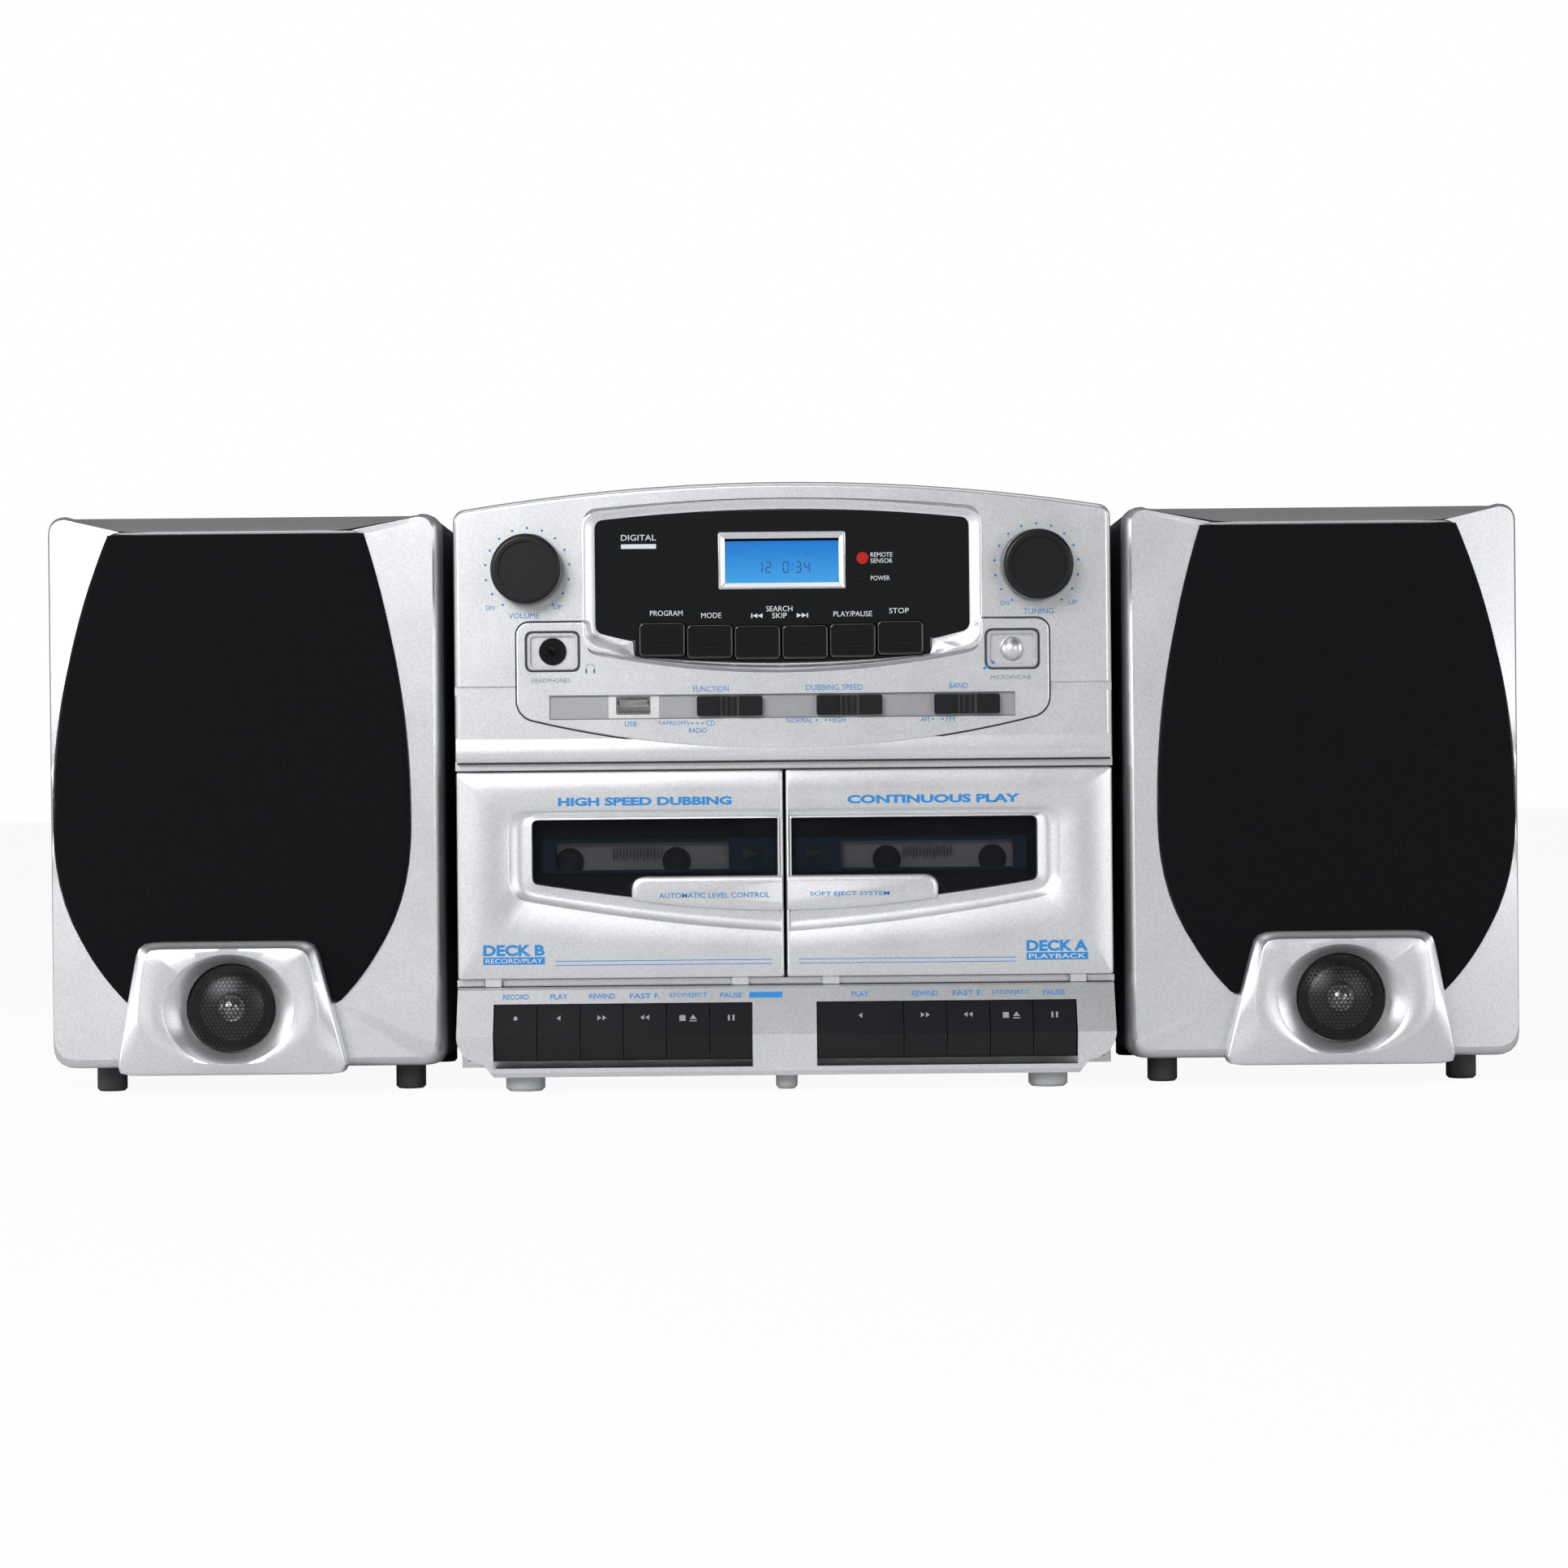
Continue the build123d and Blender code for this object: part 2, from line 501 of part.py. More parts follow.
# ---- circuit board with mains transformer -------------------------------------------------------------------------------------------------
board = block(-100, 100, 66, 160, 132, 133.6)
for x, y, r, h in ((-60, 90, 9, 26), (-36, 90, 9, 26), (-10, 84, 6, 16), (8, 84, 6, 16), (40, 96, 5, 12)):
    board += rod_z(x, y, r, 133, 133.6 + h)
board += block(52, 94, 108, 148, 133, 168)
board += block(-40, 20, 120, 136, 133, 160)
save("main_board", board)

# ---- rear sockets ---------------------------------------------------------------------------------------------------------------------------
sockets = block(-103.8, -74.2, REAR_Y - 14, REAR_Y - 2.2, 40.2, 61.8)
sockets -= slab(-96, -82, 47, 55, 3.5, REAR_Y - 12, REAR_Y)
sockets += rod_y(-92.5, 51, 1.2, REAR_Y - 13, REAR_Y - 4) + rod_y(-85.5, 51, 1.2, REAR_Y - 13, REAR_Y - 4)
terminals = block(74.2, 103.8, REAR_Y - 14, REAR_Y - 2.2, 40.2, 61.8)
for i in range(4):
    terminals -= rod_y(78.5 + i * 7, 46, 1.6, REAR_Y - 10, REAR_Y)
    terminals += block(76 + i * 7, 81 + i * 7, REAR_Y - 3, REAR_Y, 50, 60)
save("rear_sockets", sockets + terminals)

# ---- carry handle, folded down behind the cabinet ---------------------------------------------------------------------------------------------
handle = block(-104, 104, HANDLE_Y - HANDLE_T, HANDLE_Y + HANDLE_T, HANDLE_Z - HANDLE_REACH - 9, HANDLE_Z - HANDLE_REACH + 9)
handle = fillet(handle.edges().filter_by(Axis.X), 5)
for side in (-1, 1):
    arm = block(side * 110 - 6.5, side * 110 + 6.5, HANDLE_Y - HANDLE_T, HANDLE_Y + HANDLE_T,
                HANDLE_Z - HANDLE_REACH - 9, HANDLE_Z)
    arm = fillet(arm.edges().filter_by(Axis.Z), 3)
    handle += arm
    handle += rod_x(HANDLE_Y, HANDLE_Z, HANDLE_T, side * 112.5 - 6, side * 112.5 + 6)
    handle += rod_x(HANDLE_Y, HANDLE_Z, 3.0, side * 119 - 8, side * 119 + 8)
save("carry_handle", handle)

# ---- battery door in the underside -----------------------------------------------------------------------------------------------------------
hatch = block(-70.5, 70.5, 99.5, REAR_Y - 2, 7.2, 9.6)
for i in range(5):
    hatch -= block(-12, 12, 176 + i * 2, 177 + i * 2, 7, 7.7)
save("battery_door", hatch)

# ---- telescopic antenna -------------------------------------------------------------------------------------------------------------------------
base = rod_z(ANTENNA_X, ANTENNA_Y, 4.5, 119.1, 124.5)
base += block(ANTENNA_X - 3.4, ANTENNA_X + 3.4, ANTENNA_Y - 3.2, ANTENNA_Y + 2.2, 124, ANTENNA_Z + 3.4)
base += rod_y(ANTENNA_X, ANTENNA_Z, 1.2, ANTENNA_Y, TUBE_Y + 2.4)
save("antenna_base", base)
tube = rod_x(TUBE_Y, ANTENNA_Z, TUBE_R, -92, ANTENNA_X - 2)
tube += rod_y(ANTENNA_X, ANTENNA_Z, 3.3, TUBE_Y - 2.35, TUBE_Y + 2.35)
tube -= rod_y(ANTENNA_X, ANTENNA_Z, 1.2 + RUN, TUBE_Y - 3, TUBE_Y + 3)
tube -= rod_x(TUBE_Y, ANTENNA_Z, ROD_R + RUN, -93, ANTENNA_X - 12)
save("antenna_tube", tube)
inner_rod = rod_x(TUBE_Y, ANTENNA_Z, ROD_R, -92.3, ANTENNA_X - 14)
inner_rod += rod_x(TUBE_Y, ANTENNA_Z, TUBE_R, -96, -92.3)
save("antenna_rod", inner_rod)

# ---- speakers -------------------------------------------------------------------------------------------------------------------------------------
SPX = -SPEAKER_X
LEFT = SPX - SPEAKER_OUT
RIGHT = SPX + SPEAKER_IN

box = block(LEFT, RIGHT, 17, SPEAKER_REAR, SPEAKER_Z0, SPEAKER_Z1)
box = fillet(box.edges().filter_by(Axis.Y), 7)
box -= block(LEFT + 6, RIGHT - 6, 16, SPEAKER_REAR - 6, SPEAKER_Z0 + 6, SPEAKER_Z1 - 6)
channel = block(RIGHT - 1, -MAIN_HALF - 0.7, RAIL_Y - 12, RAIL_Y + 12, RAIL_Z0 - 6, RAIL_Z1 + 10)
channel -= block(RIGHT + 0.4, -MAIN_HALF + 1, RAIL_Y - 2 - GAP, RAIL_Y + 2 + GAP, RAIL_Z0 - 7, RAIL_Z1 + GAP)
channel -= block(RIGHT + 0.4, -MAIN_HALF - 2.5, RAIL_Y - 6 - GAP, RAIL_Y + 6 + GAP,
                 RAIL_Z0 - 7, RAIL_Z1 + GAP)
box += channel
for x in (SPX - 55, SPX + 65.5):
    for y in (24, 160):
        peg = rod_z(x, y, 6, 0, SPEAKER_Z0 + 1)
        box += chamfer(peg.edges().group_by(Axis.Z)[0], 1)
save("left_speaker_box", box)
save("right_speaker_box", flip(box))

GRILLE_Z1 = 221.9


def grille_outline(grow):
    return outline((SPX - 49.8 - grow, GRILLE_Z1 + grow),
                   ((SPX - 66.2 - grow, 168), (SPX - 71.6 - grow, 114)),
                   ((SPX - 65.4 - grow, 70), (SPX - 43.9 - grow, 37.0 - grow)),
                   (SPX + 40.8 + grow, 37.0 - grow),
                   ((SPX + 62.3 + grow, 70), (SPX + 68.5 + grow, 114)),
                   ((SPX + 64.2 + grow, 168), (SPX + 51.5 + grow, GRILLE_Z1 + grow)))


def housing_outline(grow):
    return outline((SPX - 39 - grow, 58 + grow), ((SPX - 3, 61 + grow), (SPX + 32.2 + grow, 58 + grow)),
                   (SPX + 45 + grow, 8.5), ((SPX - 2, 6.6), (SPX - 48 - grow, 8.5)))


front = facing(outline((LEFT, SPEAKER_Z0), (LEFT, SPEAKER_Z1), (RIGHT, SPEAKER_Z1), (RIGHT, SPEAKER_Z0)),
               -3, 17 - SEAT)
front = fillet(front.edges().filter_by(Axis.Y), 7)
front = front_rim(front, -3, 4)
front -= facing(grille_outline(SEAT), -5, 3)
front -= facing(grille_outline(-8), 2, 20)
front -= facing(housing_outline(SEAT), -5, 3)
front -= rod_y(SPX - 2, 34.6, 19, 2, 20)
save("left_speaker_fascia", front)
save("right_speaker_fascia", flip(front))

cloth = facing(grille_outline(0), -5, 2.8)
cloth = front_rim(cloth, -5, 1.5)
cloth -= facing(housing_outline(SEAT), -20, 5)
save("left_grille", cloth)
save("right_grille", flip(cloth))

horn = facing(housing_outline(0), NOSE_Y, 2.8)
horn = fillet(horn.edges().filter_by(Axis.Y), 5)
horn = front_rim(horn, NOSE_Y, 2)
horn -= Pos(SPX - 2, NOSE_Y - 1, 34.6) * Rot(90, 0, 0) * Cone(17.6, 24.0, 12)
horn -= rod_y(SPX - 2, 34.6, 17.6 + SEAT, -16, 4)
save("left_tweeter_housing", horn)
save("right_tweeter_housing", flip(horn))

mesh = rod_y(SPX - 2, 34.6, 17.5, -9, -7.5) + rod_y(SPX - 2, 34.6, 15.5, -8, 16)
cap_dome = Pos(SPX - 2, 10, 34.6) * Sphere(24) & rod_y(SPX - 2, 34.6, 17.5, -14, -8)
save("left_tweeter", mesh + cap_dome)
save("right_tweeter", flip(mesh + cap_dome))

basket = rod_y(SPX, 132, 62, 18, 21) - rod_y(SPX, 132, 54, 17, 22)
cone_body = Pos(SPX, 37, 132) * Rot(90, 0, 0) * Cone(18, 56, 34)
cone_hole = Pos(SPX, 35, 132) * Rot(90, 0, 0) * Cone(16, 54.5, 34.5)
driver = basket + (cone_body - cone_hole) + rod_y(SPX, 132, 34, 52, 70) + rod_y(SPX, 132, 18, 46, 54)
save("left_woofer", driver)
save("right_woofer", flip(driver))
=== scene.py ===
import math

import bmesh
import bpy
from mathutils import Matrix, Vector


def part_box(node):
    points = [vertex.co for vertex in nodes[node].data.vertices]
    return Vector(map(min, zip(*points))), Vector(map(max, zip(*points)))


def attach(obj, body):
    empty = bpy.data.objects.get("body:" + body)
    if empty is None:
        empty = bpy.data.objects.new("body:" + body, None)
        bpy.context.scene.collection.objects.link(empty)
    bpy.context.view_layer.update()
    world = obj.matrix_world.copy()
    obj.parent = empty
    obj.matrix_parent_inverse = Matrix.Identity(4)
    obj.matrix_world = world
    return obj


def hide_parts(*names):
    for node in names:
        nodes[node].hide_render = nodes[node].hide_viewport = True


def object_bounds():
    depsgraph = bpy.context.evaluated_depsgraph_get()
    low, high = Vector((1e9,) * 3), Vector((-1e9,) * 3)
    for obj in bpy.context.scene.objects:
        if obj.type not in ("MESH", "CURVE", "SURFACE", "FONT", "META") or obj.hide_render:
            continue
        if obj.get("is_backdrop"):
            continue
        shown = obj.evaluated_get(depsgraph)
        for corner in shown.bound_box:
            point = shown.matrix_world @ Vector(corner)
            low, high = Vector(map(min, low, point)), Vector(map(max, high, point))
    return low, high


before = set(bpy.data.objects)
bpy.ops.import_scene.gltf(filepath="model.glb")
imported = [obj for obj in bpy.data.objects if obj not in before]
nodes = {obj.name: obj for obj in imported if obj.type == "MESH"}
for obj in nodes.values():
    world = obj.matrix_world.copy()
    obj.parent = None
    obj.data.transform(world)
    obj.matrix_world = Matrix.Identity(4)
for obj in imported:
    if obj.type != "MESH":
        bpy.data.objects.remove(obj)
cad_low, cad_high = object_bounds()

# ==== silver mouldings ==============================================================================
# Fascia, control insert, key surround, doors and disc lid are injection-moulded ABS, sprayed
# with a fine aluminium-flake lacquer that has a soft satin coat.


class Wire:
    """A value inside a material, so that shader maths reads as ordinary arithmetic."""

    def __init__(self, tree, socket):
        self.tree = tree
        self.socket = socket

    def worked(self, operation, first, second):
        return node(self.tree, "Math", {"operation": operation}, {0: first, 1: second})

    def __add__(self, other):
        return self.worked("ADD", self, other)

    def __rsub__(self, other):
        return self.worked("SUBTRACT", other, self)

    def __mul__(self, other):
        return self.worked("MULTIPLY", self, other)

    def __gt__(self, other):
        return self.worked("GREATER_THAN", self, other)

    __radd__ = __add__
    __rmul__ = __mul__


def node(tree, kind, settings=None, sockets=None, out=0):
    """Adds a node, sets it up, then feeds its sockets with values or wires."""
    made = tree.nodes.new("ShaderNode" + kind)
    for key, value in (settings or {}).items():
        setattr(made, key, value)
    for key, value in (sockets or {}).items():
        socket = made.inputs[key]
        if isinstance(value, Wire):
            tree.links.new(value.socket, socket)
        elif isinstance(value, tuple) and len(value) == 3 and socket.type == "RGBA":
            socket.default_value = (*value, 1)
        else:
            socket.default_value = value
    return Wire(tree, made.outputs[out]) if len(made.outputs) else None


def new_material(name):
    """An empty material, its tree, and its Object coordinates."""
    material = bpy.data.materials.new(name)
    material.use_nodes = True
    tree = material.node_tree
    tree.nodes.clear()
    return material, tree, node(tree, "TexCoord", out=3)


def finish_surface(tree, sockets):
    """Principled surface from the given sockets, joined to the output."""
    surface = node(tree, "BsdfPrincipled", {}, sockets)
    node(tree, "OutputMaterial", {}, {"Surface": surface})


def noise(tree, at, scale, detail=2.0):
    return node(tree, "TexNoise", {}, {"Vector": at, "Scale": scale, "Detail": detail})


def mix_colour(tree, factor, low, high):
    return node(tree, "Mix", {"data_type": "RGBA"}, {0: factor, 6: low, 7: high}, out=2)


def shaded(colour, share):
    return tuple(part * share for part in colour)


def bump(tree, height, distance, strength=1.0):
    return node(tree, "Bump", {}, {"Height": height, "Distance": distance, "Strength": strength})


def lacquer(name, dark, light, metallic, roughness, bands=()):
    """Metallic-flake lacquer: tiny bright specks, soft cloudiness and a faint orange peel.

    Each band is (x0, x1, z0, z1, colour): a field in metres that is sprayed another shade, or that carries a
    painted shadow.
    """
    material, tree, at = new_material(name)
    flake = node(tree, "TexVoronoi", {}, {"Vector": at, "Scale": 2600.0}, out=1)
    flake = node(tree, "SeparateColor", {}, {"Color": flake})
    cloud = noise(tree, at, 35.0)
    grain = noise(tree, at, 900.0, 3.0)
    tone = flake * 0.4 + cloud * 0.2 + grain * 0.15 + 0.2
    colour = mix_colour(tree, tone, dark, light)
    for x0, x1, z0, z1, shade in bands:
        across = node(tree, "SeparateXYZ", {}, {"Vector": at}, out=0)
        up = node(tree, "SeparateXYZ", {}, {"Vector": at}, out=2)
        inside = (across > x0) * (up > z0) * (1.0 - (across > x1)) * (1.0 - (up > z1))
        other = mix_colour(tree, tone, shaded(shade, 0.75), shade)
        colour = mix_colour(tree, inside, colour, other)
    finish_surface(tree, {
        "Base Color": colour,
        "Metallic": metallic,
        "Roughness": roughness + cloud * 0.06 + grain * 0.08,
        "Coat Weight": 0.25,
        "Coat Roughness": 0.18,
        "Normal": bump(tree, grain, 0.00002, 0.35),
    })
    return material


SILVER_DARK = (0.52, 0.53, 0.55)
SILVER_LIGHT = (0.86, 0.87, 0.89)
SILVER = lacquer("silver flake lacquer", SILVER_DARK, SILVER_LIGHT, 0.84, 0.28)
BRIGHT_SILVER = lacquer("bright silver lacquer", (0.62, 0.63, 0.65), SILVER_LIGHT, 0.8, 0.22)


def paint(names, material):
    for name in names:
        mesh = nodes[name].data
        mesh.materials.clear()
        mesh.materials.append(material)


paint(["front_cabinet", "key_fascia", "cd_lid"], SILVER)
# The track behind the slide switches is a darker grey with a painted shadow at each edge, in metres.
TRACK = (-0.0928, 0.0920)
TRACK_BOTTOM = 0.1476
TRACK_TOP = 0.1565
TRACK_SHADOW_WIDTH = 0.0004
USB_PLATE = (-0.0693, -0.0493)
switch_track = (
    (*TRACK, TRACK_BOTTOM, TRACK_TOP, (0.50, 0.51, 0.53)),
    # painted shadow: dark bands along the top and bottom edges of the track
    (*TRACK, TRACK_TOP, TRACK_TOP + TRACK_SHADOW_WIDTH, (0.16, 0.16, 0.17)),
    (*TRACK, TRACK_BOTTOM - TRACK_SHADOW_WIDTH, TRACK_BOTTOM, (0.25, 0.25, 0.26)),
    (*USB_PLATE, TRACK_BOTTOM, TRACK_TOP, (0.90, 0.90, 0.91)),
)
paint(["control_panel"], lacquer("control panel lacquer", SILVER_DARK, SILVER_LIGHT, 0.84, 0.28, switch_track))

# ==== black mouldings ===============================================================================
# Knobs, tape keys and switch caps are black satin plastic; the rear shell, the handle and the
# speaker boxes are charcoal plastic with a fine spark-eroded texture.


def black_plastic(name, colour, roughness, texture, depth):
    """Moulded black plastic with a fine texture of the given scale and depth."""
    material, tree, at = new_material(name)
    fine = noise(tree, at, texture, 3.0)
    broad = noise(tree, at, 18.0)
    lifted = tuple(part * 1.7 + 0.004 for part in colour)
    finish_surface(tree, {
        "Base Color": mix_colour(tree, broad * 0.6 + fine * 0.3, colour, lifted),
        "Specular IOR Level": 0.28,
        "Roughness": roughness + fine * 0.12 + broad * 0.05,
        "Normal": bump(tree, fine, depth, 0.7),
    })
    return material


BLACK = black_plastic("black satin plastic", (0.004, 0.0045, 0.006), 0.24, 1500.0, 0.00002)
CHARCOAL = black_plastic("charcoal textured plastic", (0.030, 0.032, 0.035), 0.45, 900.0, 0.00012)
KEYS_B = ["b_record", "b_play", "b_rewind", "b_fast_forward", "b_stop_eject", "b_pause"]
KEYS_A = ["a_play", "a_rewind", "a_fast_forward", "a_stop_eject", "a_pause"]
paint([key + "_key" for key in KEYS_B + KEYS_A], BLACK)
paint(["volume_knob", "tuning_knob", "function_switch", "dubbing_switch", "band_switch",
       "laser_pickup", "cd_turntable"], BLACK)
paint(["rear_cabinet", "battery_door", "cd_well", "carry_handle", "antenna_base",
       "left_speaker_box", "right_speaker_box", "rear_sockets"], CHARCOAL)


def gloss(name, colour):
    """Polished plastic with faint smears and dust."""
    material, tree, at = new_material(name)
    smear = noise(tree, at, 22.0)
    dust = noise(tree, at, 2200.0, 1.0)
    hazed = tuple(part * 1.6 + 0.002 for part in colour)
    finish_surface(tree, {
        "Base Color": mix_colour(tree, smear * 0.5 + dust * 0.2, colour, hazed),
        "Roughness": 0.06 + smear * 0.05,
        "Coat Weight": 0.6,
        "Coat Roughness": 0.04,
    })
    return material


GLOSS_BLACK = gloss("polished black panel", (0.004, 0.005, 0.006))
BUTTONS = ["program_button", "mode_button", "skip_back_button", "skip_forward_button",
           "play_pause_button", "stop_button"]
paint(["display_window", "headphone_jack"] + BUTTONS, GLOSS_BLACK)


def lens(name, lit, unlit, split):
    """Lens plastic, bright above the given height and dark below it."""
    material, tree, at = new_material(name)
    height = node(tree, "SeparateXYZ", {}, {"Vector": at}, out=2)
    haze = noise(tree, at, 400.0)
    share = (height > split) * (0.85 + haze * 0.15)
    finish_surface(tree, {"Base Color": mix_colour(tree, share, unlit, lit), "Roughness": 0.12 + haze * 0.05})
    return material


RED_LENS = (0.46, 0.022, 0.016)
DARK_LENS = (0.012, 0.010, 0.012)
paint(["indicator_lenses"], lens("sensor and lamp lenses", RED_LENS, DARK_LENS, 0.206))


def metal(name, dark, light, roughness):
    """Drawn or pressed metal with fine upright streaks."""
    material, tree, at = new_material(name)
    stretched = node(tree, "Mapping", {}, {"Vector": at, "Scale": (4.0, 4.0, 60.0)})
    streak = noise(tree, stretched, 60.0, 3.0)
    finish_surface(tree, {
        "Base Color": mix_colour(tree, streak, dark, light),
        "Metallic": 1.0,
        "Roughness": roughness + streak * 0.15,
        "Normal": bump(tree, streak, 0.00002, 0.4),
    })
    return material


STEEL = metal("plated steel", (0.50, 0.50, 0.50), (0.78, 0.78, 0.77), 0.14)
paint(["usb_socket", "antenna_rod", "antenna_tube", "tape_mechanism"], STEEL)


def rubber(name, colour):
    """Dull, slightly grainy moulding."""
    material, tree, at = new_material(name)
    fine = noise(tree, at, 1200.0, 3.0)
    finish_surface(tree, {
        "Base Color": mix_colour(tree, fine, colour, shaded(colour, 1.3)),
        "Roughness": 0.5 + fine * 0.2,
        "Normal": bump(tree, fine, 0.00005, 0.6),
    })
    return material


paint(["main_feet"], rubber("grey foot rubber", (0.36, 0.37, 0.38)))
paint(["main_board"], rubber("green board laminate", (0.02, 0.09, 0.03)))

# ==== printed marks =================================================================================
# Function names, scales and signs are pad-printed in blue ink on the silver parts and in white
# on the black ones. Each print lies a hair proud of the surface it is printed on.


def ink(name, colour):
    """Printing ink, a little uneven."""
    material, tree, at = new_material(name)
    patchy = noise(tree, at, 700.0, 2.0)
    finish_surface(tree, {
        "Base Color": mix_colour(tree, patchy * 0.35, colour, shaded(colour, 0.72)),
        "Roughness": 0.42 + patchy * 0.1,
    })
    return material


BLUE_INK = ink("blue ink", (0.018, 0.235, 0.60))
GREY_INK = ink("grey ink", (0.20, 0.24, 0.30))
WHITE_INK = ink("white ink", (0.70, 0.72, 0.74))
PALE_INK = ink("pale key ink", (0.30, 0.31, 0.33))
MM = 0.001
FASCIA_Y = cad_low.y * 1000 + 15.0    # fascia plane; the horn plates stand 15 mm before it
ON_INSERT = -0.8                      # faces that carry prints, counted from the fascia plane
ON_WINDOW = 0.8
ON_DOOR = -2
ON_POD = -2.75
INSERT_MARK = (-0.9, -0.7)            # front and back of a solid mark on the same faces
WINDOW_MARK = (0.74, 0.9)
DOOR_MARK = (-2.06, -1.9)


def bar(bm, x0, x1, z0, z1, y0, y1):
    """Box between two corners, in millimetres; y counts back from the fascia plane."""
    centre = Vector(((x0 + x1) / 2, (y0 + y1) / 2 + FASCIA_Y, (z0 + z1) / 2)) * MM
    size = Vector((x1 - x0, y1 - y0, z1 - z0)) * MM
    matrix = Matrix.Translation(centre) @ Matrix.Diagonal((*size, 1))
    return bmesh.ops.create_cube(bm, size=1, matrix=matrix)["verts"]


def plate(bm, points, y0, y1):
    """Flat plate with the given X-Z outline, from y0 back to y1."""
    verts = [bm.verts.new(Vector((x, y0 + FASCIA_Y, z)) * MM) for x, z in points]
    face = bm.faces.new(verts)
    grown = bmesh.ops.extrude_face_region(bm, geom=[face])["geom"]
    moved = [g for g in grown if isinstance(g, bmesh.types.BMVert)]
    bmesh.ops.translate(bm, verts=moved, vec=Vector((0, (y1 - y0) * MM, 0)))
    return verts + moved


def tube(bm, x, z, r, y0, y1, segments=32):
    """Solid round bar that runs front to back."""
    matrix = Matrix.Translation(Vector((x, (y0 + y1) / 2 + FASCIA_Y, z)) * MM)
    matrix = matrix @ Matrix.Rotation(math.pi / 2, 4, "X")
    return bmesh.ops.create_cone(bm, cap_ends=True, segments=segments, radius1=r * MM,
                                 radius2=r * MM, depth=(y1 - y0) * MM, matrix=matrix)["verts"]


def piece(name, bm, material, body, smooth=False):
    """Turns a bmesh into a finished piece that rides on a body."""
    bmesh.ops.recalc_face_normals(bm, faces=bm.faces)
    for face in bm.faces:
        face.smooth = smooth
    if smooth:
        for edge in bm.edges:
            edge.smooth = len(edge.link_faces) != 2 or edge.calc_face_angle(0) < math.radians(35)
    mesh = bpy.data.meshes.new(name)
    bm.to_mesh(mesh)
    bm.free()
    thing = bpy.data.objects.new(name, mesh)
    bpy.context.scene.collection.objects.link(thing)
    mesh.materials.append(material)
    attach(thing, body)
    return thing


def write(bm, words, x0, x1, z0, z1, y, tilt=0.0, bold=0.0):
    """One line of lettering, fitted to a box and sunk 0.05 mm into the surface at depth y."""
    curve = bpy.data.curves.new("line", "FONT")
    curve.body = words
    curve.extrude = 0.02
    curve.offset = bold
    curve.resolution_u = 3
    line = bpy.data.objects.new("line", curve)
    bpy.context.scene.collection.objects.link(line)
    solid = bpy.data.meshes.new_from_object(line.evaluated_get(bpy.context.evaluated_depsgraph_get()))
    bpy.data.objects.remove(line)
    xs = [v.co.x for v in solid.vertices]
    ys = [v.co.y for v in solid.vertices]
    wide = (x1 - x0) / (max(xs) - min(xs))
    tall = (z1 - z0) / (max(ys) - min(ys))
    for v in solid.vertices:
        x = x0 + (v.co.x - min(xs)) * wide
        z = z0 + (v.co.y - min(ys)) * tall
        depth = y - 0.03 - (0.06 if v.co.z > 0 else -0.06)
        depth += (z - (z0 + z1) / 2) * tilt
        v.co = Vector((x, depth + FASCIA_Y, z)) * MM
    start = len(bm.verts)
    bm.from_mesh(solid)
    bpy.data.meshes.remove(solid)
    bm.verts.ensure_lookup_table()
    return bm.verts[start:]


main_print = bmesh.new()
for words, x0, x1, z, tall, y in (
        ("VOLUME", -108.6, -96.4, 188.7, 2.2, 0), ("TUNING", 95.6, 107.6, 188.7, 2.2, 0),
        ("DN", -117.6, -114.2, 192.0, 1.8, 0), ("UP", -90.6, -87.4, 192.0, 1.8, 0),
        ("DN", 86.6, 90.0, 192.0, 1.8, 0), ("UP", 113.6, 117.0, 192.0, 1.8, 0),
        ("FUNCTION", -35.6, -21.6, 159.0, 2.2, ON_INSERT), ("BAND", 65.9, 73.2, 159.4, 2.2, ON_INSERT),
        ("DUBBING SPEED", 9.0, 31.6, 159.2, 2.2, ON_INSERT), ("USB", -62.9, -58.1, 145.4, 2.0, ON_INSERT),
        ("TAPE(OFF)", -49.8, -37.5, 145.4, 2.0, ON_INSERT), ("CD", -30.6, -27.3, 145.4, 2.0, ON_INSERT),
        ("RADIO", -37.5, -30.4, 142.6, 2.0, ON_INSERT), ("NORMAL", 1.4, 11.6, 146.2, 2.0, ON_INSERT),
        ("HIGH", 18.4, 24.5, 146.2, 2.0, ON_INSERT), ("AM", 54.5, 57.8, 146.2, 2.0, ON_INSERT),
        ("FM", 64.6, 68.0, 146.2, 2.0, ON_INSERT)):
    write(main_print, words, x0, x1, z - tall / 2, z + tall / 2, y)
for z, places in ((145.4, (-36.2, -34.1, -32.1)), (146.2, (13.2, 16.9, 59.3, 63.2))):
    for x in places:
        tube(main_print, x, z, 0.42, *INSERT_MARK, 12)
KNOB_X = 101
KNOB_Z = 206.7
SCALE_R = 16.8
SCALE_DOTS = 15
SCALE_SWEEP = 288
for side in (-1, 1):
    for i in range(SCALE_DOTS):
        angle = math.radians(-SCALE_SWEEP / 2 + i * SCALE_SWEEP / (SCALE_DOTS - 1))
        x = side * KNOB_X + SCALE_R * math.sin(angle)
        tube(main_print, x, KNOB_Z + SCALE_R * math.cos(angle), 0.5, -0.08, 0.1, 10)
# microphone sign: a slanted handle with a round head
plate(main_print, [(79.2, 166.2), (79.8, 165.4), (82.6, 167.4), (82.2, 168.0)], *INSERT_MARK)
tube(main_print, 83.1, 168.2, 0.9, *INSERT_MARK, 16)
piece("fascia_print", main_print, BLUE_INK, "main_unit")
grey_print = bmesh.new()
write(grey_print, "HEADPHONES", -99.6, -84.4, 162.0, 163.8, ON_INSERT)
write(grey_print, "MICROPHONE", 82.4, 98.4, 161.6, 163.4, ON_INSERT)
